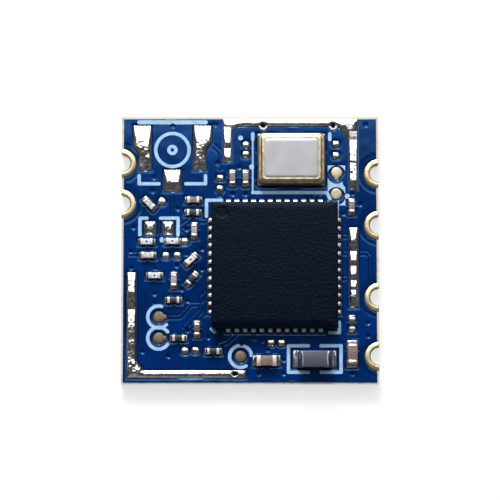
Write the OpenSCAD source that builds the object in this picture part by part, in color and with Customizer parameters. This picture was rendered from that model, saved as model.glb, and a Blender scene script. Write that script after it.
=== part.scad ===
// Surface-mount WiFi module: a two-layer board with plated half-holes on its edges,
// a 48-lead radio chip, a seam-sealed crystal, a power inductor and small chip parts.
// The antenna connector and the shield can are not fitted, so their lands carry bare solder.
// Origin: centre of the board's underside. +Z is the side with the parts, +Y the crystal's end.

/* [Board] */
// Width of the board, between the two edges that have half-holes
board_w = 12.3; // [12.2:0.05:14]
// Length of the board
board_l = 12.8; // [12.75:0.05:14]
// Thickness of the laminate between its two foils
laminate_t = 0.73; // [0.4:0.01:1.6]
// Thickness of the copper and its plating on each face
foil_t = 0.035; // [0.03:0.005:0.05]
// Thickness of the solder mask over the top foil's level
mask_cover = 0.015; // [0.005:0.005:0.03]
// How far the bottom lands stand proud of the bottom mask
land_proud = 0.01; // [0.005:0.005:0.02]
// Strip of bare laminate round the edge of each mask
mask_inset = 0.1; // [0.05:0.01:0.14]
// Clearance from a land to the mask round it
mask_gap = 0.04; // [0.02:0.01:0.06]
// Thickness of the printed ink
silk_t = 0.015; // [0.01:0.005:0.03]
// Thickness of the solder between a land and the part on it
solder_t = 0.03; // [0.02:0.005:0.05]

/* [Half-holes] */
// Radius of the plated half-holes
half_hole_r = 0.41; // [0.3:0.01:0.5]
// Thickness of the plating on their walls
plating_t = 0.05; // [0.04:0.01:0.08]
// Radius of their rounded rims
rim_r = 0.08; // [0.06:0.01:0.09]
// Width of the land from the hole's wall outwards
ring_land_w = 0.27; // [0.15:0.01:0.32]
// Places of the half-holes along the left edge
left_holes_y = [4.18, 2.22]; // [-6:0.01:6]
// Places of the half-holes along the right edge
right_holes_y = [3.68, 1.19, -2.26, -5.07]; // [-6:0.01:6]

/* [Vias] */
// Bore of the small plated vias
via_r = 0.1; // [0.08:0.005:0.11]
// Bore of the vias that the mask leaves open
open_via_r = 0.12; // [0.1:0.005:0.13]
// Thickness of the plating in a via
via_plating_t = 0.025; // [0.015:0.005:0.03]
// Depth of the dimple in the mask over a via
dimple_depth = 0.02; // [0.01:0.005:0.02]
// Vias along each side of the grid under the radio chip
thermal_vias = 3; // [1:1:5]
// Spacing of that grid
thermal_pitch = 1.1; // [0.6:0.1:1.2]

/* [Radio chip] */
// Centre of the chip across the board
chip_x = 1.17; // [1.1:0.01:1.25]
// Centre of the chip along the board
chip_y = -0.765; // [-0.8:0.005:-0.7]
// Side of the moulded body
chip_w = 6; // [5.9:0.05:6.1]
// Thickness of the moulded body
chip_t = 0.85; // [0.6:0.05:1]
// Leads on each side
leads_per_side = 12; // [4:1:12]
// Pitch of the leads
lead_pitch = 0.4; // [0.35:0.01:0.42]
// Width of a lead
lead_w = 0.2; // [0.15:0.01:0.24]
// Length of a lead under the body
lead_l = 0.4; // [0.3:0.01:0.45]
// Thickness of the lead frame
lead_t = 0.2; // [0.1:0.01:0.25]
// How far the chip's lands run out past its body
chip_toe = 0.17; // [0.1:0.01:0.2]
// Side of the ground pad under the body
ground_pad_w = 4.4; // [3:0.1:4.6]
// Radius of the dimple that marks the first lead
pin_mark_r = 0.28; // [0.15:0.01:0.4]
// Distance of that dimple from the body's two edges
pin_mark_inset = 0.5; // [0.45:0.01:1]

/* [Crystal] */
// Centre of the crystal across the board
crystal_x = 1.98; // [1.95:0.01:2.01]
// Centre of the crystal along the board
crystal_y = 4.34; // [4.32:0.01:4.36]
// Length of the ceramic base
crystal_l = 3.2; // [3.1:0.02:3.24]
// Width of the ceramic base
crystal_w = 2.5; // [2.3:0.02:2.52]
// Thickness of the ceramic base
crystal_base_t = 0.4; // [0.3:0.02:0.6]
// Thickness of the floor under the cavity
crystal_floor_t = 0.12; // [0.08:0.01:0.18]
// Radius of the notches in the base's corners
notch_r = 0.14; // [0.08:0.01:0.16]
// Thickness of the metal pads under the base
crystal_pad_t = 0.02; // [0.01:0.005:0.04]
// Distance from the base's edge to the seal ring
ring_inset = 0.05; // [0.03:0.01:0.06]
// Width of the seal ring
ring_w = 0.35; // [0.3:0.01:0.4]
// Thickness of the seal ring
ring_t = 0.15; // [0.08:0.01:0.25]
// Distance from the seal ring's edge to the lid
lid_inset = 0.07; // [0.04:0.01:0.1]
// Thickness of the lid's rim
lid_rim_t = 0.03; // [0.02:0.01:0.06]
// Height of the lid's raised panel over its rim
lid_rise = 0.07; // [0.04:0.01:0.12]
// Width of the slope between the lid's rim and its panel
lid_slope_w = 0.12; // [0.05:0.01:0.16]
// Thickness of the quartz blank
blank_t = 0.05; // [0.03:0.01:0.08]

/* [Small chip parts] */
// Length of a small part
small_l = 0.6; // [0.54:0.02:0.62]
// Width of a small part
small_w = 0.3; // [0.24:0.01:0.32]
// Height of a small capacitor or inductor
small_t = 0.3; // [0.2:0.01:0.35]
// Height of a small resistor
resistor_t = 0.23; // [0.15:0.01:0.3]
// Length of a small part's end caps
small_cap_l = 0.15; // [0.1:0.01:0.18]
// Thickness of the metal of an end cap
cap_metal_t = 0.015; // [0.01:0.005:0.02]
// How far a small part's lands run out past its ends
small_toe = 0.1; // [0.05:0.01:0.12]

/* [Large chip parts] */
// Length of a large capacitor
large_l = 1; // [0.9:0.02:1.06]
// Width of a large capacitor
large_w = 0.5; // [0.4:0.02:0.54]
// Height of a large capacitor
large_t = 0.5; // [0.3:0.02:0.6]
// Length of a large capacitor's end caps
large_cap_l = 0.25; // [0.15:0.01:0.3]
// How far a large capacitor's lands run out past its ends
large_toe = 0.15; // [0.1:0.01:0.2]
// Length of the power inductor
inductor_l = 1.6; // [1.5:0.02:1.66]
// Width of the power inductor
inductor_w = 0.8; // [0.7:0.02:0.86]
// Height of the power inductor
inductor_t = 0.8; // [0.5:0.02:0.84]
// Length of the power inductor's end caps
inductor_cap_l = 0.3; // [0.2:0.01:0.35]
// How far the power inductor's lands run out past its ends
inductor_toe = 0.22; // [0.1:0.01:0.24]

/* [Bare lands and test points] */
// Side of the small lands that have no part
bare_pad_w = 0.3; // [0.2:0.01:0.31]
// Height of the solder on them
bare_solder_h = 0.1; // [0.05:0.01:0.15]
// Width of the two wide lands that have no part
wide_pad_w = 0.52; // [0.4:0.01:0.56]
// Length of the two wide lands that have no part
wide_pad_l = 0.65; // [0.5:0.01:0.68]
// Radius of the test points
test_point_r = 0.26; // [0.18:0.01:0.28]
// Width of the tail on a test point
test_tail_w = 0.2; // [0.1:0.01:0.24]
// Height of the solder on the antenna connector's lands
connector_solder_h = 0.12; // [0.06:0.01:0.2]
// Height of the solder on the shield can's tracks
shield_solder_h = 0.12; // [0.06:0.01:0.2]
// Distance from the board's ends to the shield can's tracks
track_inset = 0.07; // [0.03:0.01:0.1]
// Width of the shield can's tracks along the board's ends
end_track_w = 0.35; // [0.2:0.01:0.4]
// Width of the shield can's tracks along its sides
side_track_w = 0.4; // [0.25:0.01:0.44]

// Distance of the shield can's left wall from the board's left edge
side_track_inset = 0.5; // [0.35:0.01:0.55]

/* [Antenna connector lands] */
// Distance of the connector's centre from the board's left edge
connector_from_left = 2.43; // [2.3:0.01:2.5]
// Distance of the connector's centre from the board's top edge
connector_from_top = 1.59; // [1.55:0.01:1.65]
// Distance from the centre to the inner edges of its two ground lands
ground_land_inner = 1.03; // [0.95:0.01:1.1]
// Distance from the centre to their outer edges, at the wide end
ground_land_outer = 1.86; // [1.75:0.01:1.95]
// Width of the ground lands at their narrow end
ground_land_narrow_w = 0.56; // [0.4:0.01:0.7]
// Length of the ground lands
ground_land_l = 2.13; // [1.9:0.01:2.2]
// Distance from the centre to the ground lands' wide end
ground_land_reach = 1.17; // [1.1:0.01:1.25]
// Width of the signal land
signal_land_w = 0.79; // [0.6:0.01:0.85]
// Length of the signal land
signal_land_l = 1.02; // [0.8:0.01:1.05]
// Distance from the centre to the middle of the signal land
signal_land_offset = 1.48; // [1.45:0.01:1.55]

/* [Printed lines] */
// Width of the heavy printed lines
line_w = 0.16; // [0.1:0.01:0.18]
// Width of the fine printed lines
fine_line_w = 0.08; // [0.06:0.01:0.1]
// Clearance from a part's lands to the lines printed round them
print_gap = 0.15; // [0.12:0.01:0.18]
// Radius of the printed ring at the antenna connector
connector_ring_r = 0.8; // [0.6:0.01:0.84]
// Radius of the printed ring at its centre
centre_ring_r = 0.17; // [0.12:0.01:0.25]
// Radius of the printed rings round the lower test points
test_ring_r = 0.52; // [0.45:0.01:0.54]
// Radius of the printed dots
dot_r = 0.12; // [0.08:0.01:0.14]

/* [Hidden] */
$fn = 48;
bottom_laminate_z = foil_t;
top_laminate_z = foil_t + laminate_t;
land_z = top_laminate_z + foil_t;
mask_z = land_z + mask_cover;
seat_z = land_z + solder_t;
ring_land_r = half_hole_r + ring_land_w;
via_bore_r = via_r + via_plating_t;
open_bore_r = open_via_r + via_plating_t;
open_land_w = 0.06;
open_land_r = open_bore_r + open_land_w;
crystal_base_z = seat_z + crystal_pad_t;
ring_z = crystal_base_z + crystal_base_t;
lid_z = ring_z + ring_t;
ring_size = [crystal_l - 2 * ring_inset, crystal_w - 2 * ring_inset];
cavity_size = [ring_size.x - 2 * ring_w, ring_size.y - 2 * ring_w];
lid_size = [ring_size.x - 2 * lid_inset, ring_size.y - 2 * lid_inset];
crystal_pad_size = [0.9, 0.8];
cavity_corner_r = 0.2;
blank_shelf_l = 0.5;
blank_shelf_t = 0.08;
blank_clearance = 0.12;
lid_ledge_w = 0.03;
bare_corner_r = 0.08;
solder_tip_t = 0.02;
cut = 0.01;
deep = 5;

// Chip parts: x, y and the turn of the part's long axis
capacitors = [
    [-4.81, 2.21, -45], [-2.71, 2.39, 0], [-2.66, 0.92, 90], [-0.84, 3.44, 90], [-0.21, 3.44, 90],
    [4.86, 2.07, 90], [-2.52, -3.79, 90], [-3.63, -1.46, 90], [-4.88, -0.26, 0]
];
resistors = [
    [-2.73, 1.79, 0], [4.86, -3.52, 90], [-1.75, -4.84, 0], [-3.4, -4.21, 0], [-3.65, -2.4, 0],
    [-2.78, -1.39, 48]
];
inductors = [[-4.55, -1.23, 0], [-4.93, 0.39, 0], [-3.7, 0.41, 0], [-2.82, -0.47, 42]];
large_capacitors = [[4.86, -4.96, 90], [0.79, -5.28, 0]];
power_inductor = [[3.08, -5.2, 0]];

// Lands with no part on them, and the test points with the way that each one's tail runs
bare_pads = [
    [-1.43, 3.46], [-1.45, 2.94], [-0.2, 5.06], [-0.2, 4.6], [4.12, 5.1], [4.12, 4.55],
    [1, -4.44], [1.5, -4.44], [-3.1, -4.82], [-2.6, -4.8], [-4.02, -0.26], [-3.48, -0.26],
    [-3.12, 0.42]
];
wide_pads = [[-4.775, 1.05], [-3.93, 1.05]];
round_pad = [-4.22, 2.33];
round_pad_r = 0.18;
test_points = [[4.15, 3.74], [4.13, 2.7], [-0.45, -5.08], [-4.35, -3.2], [-4.35, -4.21]];
test_tails = [[4.15, 3.74, -90], [-4.35, -3.2, 0], [-4.35, -4.21, 0]];
test_tail_l = 0.36;
// Printed rings round the test points: which point, and the angles that the ring runs between
test_rings = [[2, 5, 300], [3, 75, 315], [4, 35, 325]];

// Vias that the mask covers, and vias left open in the shield can's tracks
tented_vias = [
    [-3.7, 5.97], [-1.67, 6.04], [5.55, 6.02], [-4.6, 3.49], [-4.65, 2.84], [-1.55, 4.18],
    [-0.52, 3.98], [-0.83, 2.69], [-0.22, 2.69], [-1.45, 2.62], [-3.45, 2], [-5.57, 1.1],
    [-5.7, -0.04], [-5.67, -0.85], [-3.03, 1], [-2.28, 0.06], [-3.05, -0.2], [-3.5, -0.74],
    [-4.5, -0.88], [-2.3, -0.92], [-3.25, -1.88], [-4.55, -2.08], [-4.55, -2.52], [-2.97, -2.43],
    [-2.95, -3.84], [-1.98, -4.16], [-5.1, -4.84], [-3.88, -5.06], [-0.4, -4.46], [0.2, -4.23],
    [0.85, -4.76], [0.42, -5.9], [4.87, -5.9], [1.62, -5.24], [1.61, -5.88], [5.27, 2.2],
    [4.47, 1.75], [4.9, 2.71], [5.63, -3.47], [5.63, -4.1]
];

// Shield can tracks, as the centre lines and ends of their legs
top_track_y = board_l / 2 - track_inset - end_track_w / 2;
bottom_track_inset = 0.3;
bottom_track_y = -board_l / 2 + bottom_track_inset + end_track_w / 2;
left_wall_x = -board_w / 2 + side_track_inset;
right_wall_gap = 0.78;
right_wall_x = chip_x + chip_w / 2 + right_wall_gap;
top_left_leg = [-1.08, 4.23];
top_right_leg_y = 2.9;
bottom_track_end_x = -0.22;
left_leg_y = [-1.08, -2.8];
right_leg_y = [1.08, -0.85, -2.75];
corner_web = 0.5;
bead_lap = 0.05;
open_vias = [
    [0.63, top_track_y - 0.15], [3.99, top_track_y - 0.15], [-0.73, bottom_track_y + 0.03]
];

// Antenna connector, and how far each ground land's wide end reaches along it
connector = [connector_from_left - board_w / 2, board_l / 2 - connector_from_top];
wide_end_l = [0.98, 0.8];
ground_land_slope = 0.36;

// Helpers

// Puts its children at each place of a list, turned as the place says
module at_places(places) {
    for (place = places) {
        translate([place.x, place.y, 0]) rotate(len(place) > 2 ? place.z : 0) children();
    }
}

// Puts its children at each half-hole, with +X pointing into the board
module at_half_holes() {
    for (y = left_holes_y) translate([-board_w / 2, y, 0]) children();
    for (y = right_holes_y) translate([board_w / 2, y, 0]) rotate(180) children();
}

// Puts its children at each lead, with +X pointing out of the chip and x = 0 at its edge
module at_leads() {
    translate([chip_x, chip_y, 0])
        for (side = [0 : 3], i = [0 : leads_per_side - 1]) {
            rotate(90 * side)
                translate([chip_w / 2, (i - (leads_per_side - 1) / 2) * lead_pitch, 0])
                    children();
        }
}

// Puts its children at both ends of a part of this length, with +X pointing outwards
module at_ends(part_l) {
    for (turn = [0, 180]) rotate(turn) translate([part_l / 2, 0, 0]) children();
}

// Puts its children at the four corners of the crystal's base, mirrored about its centre
module at_crystal_corners() {
    translate([crystal_x, crystal_y, 0])
        for (mx = [0, 1], my = [0, 1]) {
            mirror([mx, 0, 0]) mirror([0, my, 0])
                translate([crystal_l / 2, crystal_w / 2, 0]) children();
        }
}

// Rectangle with rounded corners, centred
module rounded_rectangle(size, r) {
    square([size.x - 2 * r, size.y], center = true);
    square([size.x, size.y - 2 * r], center = true);
    for (x = [-1, 1], y = [-1, 1]) {
        translate([x * (size.x / 2 - r), y * (size.y / 2 - r)]) circle(r);
    }
}

// Printed or etched line with round ends
module stroke(from, to, w) {
    run = to - from;
    translate(from) rotate(atan2(run.y, run.x)) {
        translate([0, -w / 2]) square([norm(run), w]);
        circle(w / 2);
        translate([norm(run), 0]) circle(w / 2);
    }
}

// Printed ring
module ring(r, w) {
    difference() {
        circle(r + w / 2);
        circle(r - w / 2);
    }
}

// Part of a printed ring, from one angle to another, with round ends
module arc(r, w, from, to) {
    steps = 6;
    intersection() {
        ring(r, w);
        polygon(concat(
            [[0, 0]],
            [for (i = [0 : steps]) let (a = from + (to - from) * i / steps) 2 * r * [cos(a), sin(a)]]
        ));
    }
    for (a = [from, to]) translate(r * [cos(a), sin(a)]) circle(w / 2);
}

// Circular segment of this width and height, standing on the X axis
module segment(w, h) {
    r = (w * w / 4 + h * h) / (2 * h);
    intersection() {
        translate([0, h - r]) circle(r);
        translate([-w / 2, 0]) square([w, h]);
    }
}

// Solder standing on a rectangle: arched across, with rounded ends
module solder_bead(size, h) {
    intersection() {
        rotate([90, 0, 0]) linear_extrude(size.y, center = true) segment(size.x, h);
        rotate([90, 0, 90]) linear_extrude(size.x, center = true) {
            translate([-size.y / 2 + h, 0]) square([size.y - 2 * h, h]);
            for (end = [-1, 1]) {
                intersection() {
                    translate([end * (size.y / 2 - h), 0]) circle(h);
                    translate([end * (size.y - h) / 2, h / 2]) square(h, center = true);
                }
            }
        }
    }
}

// Spherical cap of this base radius and height
module solder_cap(r, h) {
    ball_r = (r * r + h * h) / (2 * h);
    intersection() {
        translate([0, 0, h - ball_r]) sphere(ball_r);
        cylinder(r = r, h = h);
    }
}

// Solder pillow over an outline: arched both ways, so that it thins towards its edges
module solder_pillow(centre, size, h) {
    intersection() {
        linear_extrude(h) children();
        translate(centre) rotate([90, 0, 0])
            linear_extrude(2 * size.y, center = true) segment(1.2 * size.x, h);
        translate(centre) rotate([90, 0, 90])
            linear_extrude(2 * size.x, center = true) segment(1.2 * size.y, h);
    }
}

// Solder joint at a part's end: a slab under the metal and a hollow fillet up its face.
// x = 0 is the end face and z = 0 is the plane that the part sits on.
module solder_joint(under, toe, w, rise) {
    fillet = min(rise, toe);
    rotate([90, 0, 0]) linear_extrude(w, center = true) {
        translate([-under, -solder_t]) square([under + toe, solder_t]);
        square([toe, solder_tip_t]);
        difference() {
            square(fillet);
            translate([fillet, fillet]) circle(fillet - solder_tip_t);
        }
    }
}

// Ceramic block of a chip part, inside the metal of its end caps
module part_block(l, w, t) {
    translate([-l / 2 + cap_metal_t, -w / 2 + cap_metal_t, seat_z + cap_metal_t])
        cube([l - 2 * cap_metal_t, w - 2 * cap_metal_t, t - 2 * cap_metal_t]);
}

// The two end caps of a chip part, each a box with one open side
module part_caps(l, w, t, cap_l) {
    difference() {
        at_ends(l) translate([-cap_l, -w / 2, seat_z]) cube([cap_l, w, t]);
        part_block(l, w, t);
    }
}

// The two lands of a chip part
module part_lands(l, w, cap_l, toe, grow) {
    at_ends(l) translate([(toe - cap_l) / 2, 0])
        square([cap_l + toe + 2 * grow, w + 2 * grow], center = true);
}

// The two solder joints of a chip part
module part_joints(l, w, t, cap_l, toe) {
    translate([0, 0, seat_z]) at_ends(l) solder_joint(cap_l, toe, w, t / 2);
}

// Outlines of the board's features

module board_outline() {
    square([board_w, board_l], center = true);
}

module half_hole_lands(grow) {
    at_half_holes() circle(ring_land_r + grow);
}

module via_circles(r, open_r) {
    at_places(tented_vias) circle(r);
    at_places(open_vias) circle(open_r);
}

module thermal_via_circles(r) {
    translate([chip_x, chip_y])
        for (i = [0 : thermal_vias - 1], j = [0 : thermal_vias - 1]) {
            translate(thermal_pitch * [i - (thermal_vias - 1) / 2, j - (thermal_vias - 1) / 2])
                circle(r);
        }
}

module chip_part_lands(grow) {
    at_places(concat(capacitors, resistors, inductors))
        part_lands(small_l, small_w, small_cap_l, small_toe, grow);
    at_places(large_capacitors) part_lands(large_l, large_w, large_cap_l, large_toe, grow);
    at_places(power_inductor)
        part_lands(inductor_l, inductor_w, inductor_cap_l, inductor_toe, grow);
}

module chip_lands(grow) {
    at_leads() translate([(chip_toe - lead_l) / 2, 0])
        square([lead_l + chip_toe + 2 * grow, lead_w + 2 * grow], center = true);
    translate([chip_x, chip_y]) square(ground_pad_w + 2 * grow, center = true);
}

module crystal_lands(grow) {
    at_crystal_corners() translate(-crystal_pad_size / 2)
        square(crystal_pad_size + 2 * [grow, grow], center = true);
}

module bare_land(size, grow) {
    rounded_rectangle(size + 2 * [grow, grow], bare_corner_r + grow);
}

module bare_lands(grow) {
    at_places(bare_pads) bare_land([bare_pad_w, bare_pad_w], grow);
    at_places(wide_pads) bare_land([wide_pad_w, wide_pad_l], grow);
    translate(round_pad) circle(round_pad_r + grow);
}

// One ground land of the connector, with the connector's centre at the origin and +X outwards
module ground_land(wide_l) {
    slope_y = ground_land_reach - wide_l;
    narrow_x = ground_land_inner + ground_land_narrow_w;
    low_y = ground_land_reach - ground_land_l;
    polygon([
        [ground_land_inner, ground_land_reach], [ground_land_outer, ground_land_reach],
        [ground_land_outer, slope_y], [narrow_x, slope_y - ground_land_slope],
        [narrow_x, low_y], [ground_land_inner, low_y]
    ]);
}

module signal_land() {
    translate([0, -signal_land_offset]) square([signal_land_w, signal_land_l], center = true);
}

module connector_outlines() {
    translate(connector) {
        mirror([1, 0]) ground_land(wide_end_l[0]);
        ground_land(wide_end_l[1]);
        signal_land();
    }
}

module connector_lands(grow) {
    if (grow > 0) offset(delta = grow) connector_outlines();
    else connector_outlines();
}

module test_lands(grow) {
    at_places(test_points) circle(test_point_r + grow);
    at_places(test_tails) translate([0, -test_tail_w / 2 - grow])
        square([test_tail_l + grow, test_tail_w + 2 * grow]);
}

// Rectangle between two corners, grown by the same amount on every side
module track(from, to, grow) {
    translate(from - [grow, grow]) square(to - from + 2 * [grow, grow]);
}

module shield_tracks(grow) {
    half = [side_track_w, end_track_w] / 2;
    top = top_track_y + half.y;
    bottom = bottom_track_y - half.y;
    track([top_left_leg.x - half.x, top - end_track_w], [right_wall_x + half.x, top], grow);
    track(top_left_leg - [half.x, 0], [top_left_leg.x + half.x, top], grow);
    track([right_wall_x - half.x, top_right_leg_y], [right_wall_x + half.x, top], grow);
    track([left_wall_x - half.x, bottom], [bottom_track_end_x, bottom + end_track_w], grow);
    track([left_wall_x - half.x, bottom], [left_wall_x + half.x, left_leg_y[0]], grow);
    track([right_wall_x - half.x, right_leg_y[2]], [right_wall_x + half.x, right_leg_y[0]], grow);
    track_webs(grow);
    at_places(open_vias) circle(open_land_r + grow);
}

// Slanted corners where two legs of a track meet, each a triangle from the middle of the corner
module track_webs(grow) {
    web = corner_web + 1.4 * grow;
    half = [side_track_w, end_track_w] / 2;
    translate([right_wall_x - half.x, top_track_y - half.y])
        polygon([half, [-web, 0], [0, -1.5 * web]]);
    translate([top_left_leg.x + half.x, top_track_y - half.y])
        polygon([[-half.x, half.y], [0.7 * web, 0], [0, -0.5 * web]]);
    translate([left_wall_x + half.x, bottom_track_y + half.y])
        polygon([-half, [0.8 * web, 0], [0, web]]);
}

// Every land of the top face, grown by the same amount on every side
module top_lands(grow) {
    half_hole_lands(grow);
    chip_part_lands(grow);
    chip_lands(grow);
    crystal_lands(grow);
    bare_lands(grow);
    connector_lands(grow);
    test_lands(grow);
    shield_tracks(grow);
}

// Board

module laminate() {
    color("#a39a78")
        translate([0, 0, bottom_laminate_z]) linear_extrude(laminate_t) difference() {
            board_outline();
            at_half_holes() circle(half_hole_r + plating_t);
            via_circles(via_bore_r, open_bore_r);
            thermal_via_circles(via_bore_r);
        }
}

// Dimples that the mask sinks into over the vias
module via_dimples() {
    dimple_r = via_bore_r;
    ball_r = (dimple_r * dimple_r + dimple_depth * dimple_depth) / (2 * dimple_depth);
    translate([0, 0, ball_r - dimple_depth]) sphere(ball_r);
}

module solder_mask_top() {
    color("#0a2a70") difference() {
        translate([0, 0, top_laminate_z]) linear_extrude(foil_t + mask_cover) difference() {
            square([board_w, board_l] - 2 * [mask_inset, mask_inset], center = true);
            top_lands(mask_gap);
        }
        translate([0, 0, mask_z]) at_places(tented_vias) via_dimples();
    }
}

module solder_mask_bottom() {
    color("#0a2a70")
        translate([0, 0, land_proud]) linear_extrude(foil_t - land_proud) difference() {
            square([board_w, board_l] - 2 * [mask_inset, mask_inset], center = true);
            half_hole_lands(mask_gap);
        }
}

// Plated half-hole: lands on both faces, the wall between them and its rounded rims
module terminal() {
    color("#c9b483") rotate(-90) rotate_extrude(angle = 180) difference() {
        union() {
            translate([half_hole_r + rim_r, 0]) square([ring_land_w - rim_r, land_z]);
            translate([half_hole_r, rim_r]) square([rim_r, land_z - 2 * rim_r]);
            for (z = [rim_r, land_z - rim_r]) translate([half_hole_r + rim_r, z]) circle(rim_r);
        }
        translate([half_hole_r + plating_t, bottom_laminate_z]) square([deep, laminate_t]);
    }
}

module via_barrels() {
    color("#b87333")
        translate([0, 0, bottom_laminate_z]) linear_extrude(laminate_t) difference() {
            union() {
                via_circles(via_bore_r, open_bore_r);
                thermal_via_circles(via_bore_r);
            }
            via_circles(via_r, open_via_r);
            thermal_via_circles(via_r);
        }
}

module copper_lands() {
    color("#b87333") translate([0, 0, top_laminate_z]) linear_extrude(foil_t) difference() {
        union() {
            chip_part_lands(0);
            chip_lands(0);
            crystal_lands(0);
            bare_lands(0);
            connector_lands(0);
            shield_tracks(0);
        }
        at_places(open_vias) circle(open_via_r);
    }
}

module test_point_lands() {
    color("#c2a566") translate([0, 0, top_laminate_z]) linear_extrude(foil_t) test_lands(0);
}

// Printing

// Two strokes that meet at a corner, with an arm along X and an arm along Y
module bracket(corner, arms) {
    stroke(corner, corner + [arms.x, 0], line_w);
    stroke(corner, corner + [0, arms.y], line_w);
}

module connector_print() {
    bar_w = 0.2;
    bar_gap = 0.03;
    side = ground_land_inner + ground_land_narrow_w;
    low = signal_land_offset + print_gap;
    arms = [0.95, 0.39];
    translate(connector) {
        ring(connector_ring_r, line_w);
        ring(centre_ring_r, line_w);
        translate([0, ground_land_reach + mask_gap + bar_w / 2 + bar_gap])
            stroke([-side, 0], [side, 0], bar_w);
        for (x = [-1, 1]) bracket([x * side, -low], [-x * arms.x, arms.y]);
    }
}

module wide_pad_print() {
    left_arm = 0.34;
    right_arm = 0.84;
    dot_place = [0.15, -0.24];
    low = wide_pads[0] - [wide_pad_w / 2 + print_gap + line_w / 2, wide_pad_l / 2];
    high = wide_pads[1] + [wide_pad_w / 2 + print_gap + line_w / 2, wide_pad_l / 2 + print_gap];
    bracket([low.x, high.y], [left_arm, low.y - high.y]);
    bracket(high, [-right_arm, low.y - high.y]);
    translate([(low.x + high.x) / 2, low.y] + dot_place) circle(dot_r);
}

module crystal_print() {
    half = [crystal_l / 2 + small_toe, crystal_w / 2 + small_toe];
    side = half.x + print_gap;
    low = half.y + print_gap + line_w / 2;
    tick_y = [half.y - 0.1, half.y - 0.38];
    side_top = half.y - 0.4;
    corner = [half.x, -low];
    tail = [0.15, -0.3];
    dots = [[-side - 0.05, -0.35], [-side - 0.58, half.y - 0.3]];
    translate([crystal_x, crystal_y]) {
        for (x = [-1, 1]) stroke([x * side, tick_y[0]], [x * side, tick_y[1]], line_w);
        stroke([-side, side_top], [-side, -low], fine_line_w);
        stroke([-side, -low], corner, line_w);
        stroke(corner, corner + tail, line_w);
        at_places(dots) circle(dot_r);
    }
}

// Solid print behind the two right-hand test points. The discs left clear lie lower than the
// points, so that the print ends in horns beside them.
module test_column_print() {
    clear_r = 0.44;
    clear_drop = 0.12;
    waist_rise = 0.13;
    tail_l = 0.6;
    half_w = test_point_r + print_gap;
    above = clear_r - clear_drop;
    below = clear_r + clear_drop;
    high = test_points[0] + [half_w, above];
    low = test_points[1] - [half_w, below];
    line_x = test_points[1].x + line_w / 2;
    difference() {
        translate(low) square(high - low);
        for (i = [0, 1]) translate(test_points[i] - [0, clear_drop]) circle(clear_r);
        translate(test_points[0]) circle(above);
        translate([high.x + dot_r, (high.y + low.y) / 2 + waist_rise]) circle(2 * dot_r);
    }
    stroke([line_x, low.y + line_w], [line_x, low.y - tail_l], fine_line_w);
    translate(test_points[1] + [half_w + dot_r, -dot_r]) circle(dot_r);
}

module test_point_print() {
    test_column_print();
    for (t = test_rings) translate(test_points[t[0]]) arc(test_ring_r, line_w, t[1], t[2]);
}

module chip_print() {
    half = chip_w / 2;
    side_gap = 0.25;
    arms = [0.72, 0.77];
    low_gap = [0.08, 0.18];
    low_arms = [0.46, 0.49];
    tick = 0.15;
    translate([chip_x, chip_y]) {
        bracket([-half - side_gap, half + print_gap], [arms.x, -arms.y]);
        bracket([half + low_gap.x, -half - low_gap.y], [-low_arms.x, low_arms.y]);
        stroke([-half, -half], [-half + tick, -half - tick], line_w);
    }
}

module inductor_print() {
    reach = [inductor_l / 2 + inductor_toe, inductor_w / 2] + (print_gap + line_w / 2) * [1, 1];
    gap = 0.3;
    translate([power_inductor[0].x, power_inductor[0].y])
        for (x = [-1, 1], y = [-1, 1]) {
            bracket([x * reach.x, y * reach.y], [-x * (reach.x - gap), -y * reach.y]);
        }
}

module silkscreen() {
    color("#b7d3ee") translate([0, 0, mask_z]) linear_extrude(silk_t) difference() {
        union() {
            connector_print();
            wide_pad_print();
            crystal_print();
            test_point_print();
            chip_print();
            inductor_print();
        }
        top_lands(mask_gap);
        at_places(tented_vias) circle(via_bore_r);
    }
}

// Solder

module connector_solder() {
    ground_size = [ground_land_outer - ground_land_inner, ground_land_l];
    ground_centre = [
        (ground_land_outer + ground_land_inner) / 2, ground_land_reach - ground_land_l / 2
    ];
    color("#d8d8d8") translate([connector.x, connector.y, land_z]) {
        for (i = [0, 1]) {
            mirror([1 - i, 0, 0]) solder_pillow(ground_centre, ground_size, connector_solder_h)
                ground_land(wide_end_l[i]);
        }
        solder_pillow([0, -signal_land_offset], [signal_land_w, signal_land_l], connector_solder_h)
            signal_land();
    }
}

module bare_pad_solder() {
    color("#d8d8d8") translate([0, 0, land_z]) {
        at_places(bare_pads) intersection() {
            solder_cap(bare_pad_w * 0.75, bare_solder_h);
            linear_extrude(bare_solder_h) bare_land([bare_pad_w, bare_pad_w], 0);
        }
        at_places(wide_pads)
            solder_pillow([0, 0], [wide_pad_w, wide_pad_l], bare_solder_h)
                bare_land([wide_pad_w, wide_pad_l], 0);
        translate(round_pad) solder_cap(round_pad_r, bare_solder_h);
    }
}

// Bead along one leg of a track, from one end to the other
module leg_bead(from, to, w) {
    run = to - from;
    translate((from + to) / 2) rotate(atan2(run.y, run.x) - 90)
        solder_bead([w, norm(run)], shield_solder_h);
}

module open_via_cuts() {
    at_places(open_vias) translate([0, 0, -cut]) cylinder(r = open_via_r, h = deep);
}

// The webs of the tracks in one half of the board, thinner than the beads beside them
module web_solder(end) {
    linear_extrude(shield_solder_h / 3) intersection() {
        track_webs(0);
        translate([0, end * board_l / 2]) square([board_w, board_l], center = true);
    }
}

module shield_solder_top() {
    top = top_track_y + end_track_w / 2;
    start_x = top_left_leg.x - side_track_w / 2;
    end_x = right_wall_x + side_track_w / 2;
    color("#d8d8d8") translate([0, 0, land_z]) difference() {
        union() {
            leg_bead([start_x, top_track_y], [end_x, top_track_y], end_track_w);
            leg_bead(top_left_leg, [top_left_leg.x, top], side_track_w);
            leg_bead([right_wall_x, top_right_leg_y], [right_wall_x, top], side_track_w);
            web_solder(1);
        }
        open_via_cuts();
    }
}

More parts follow.
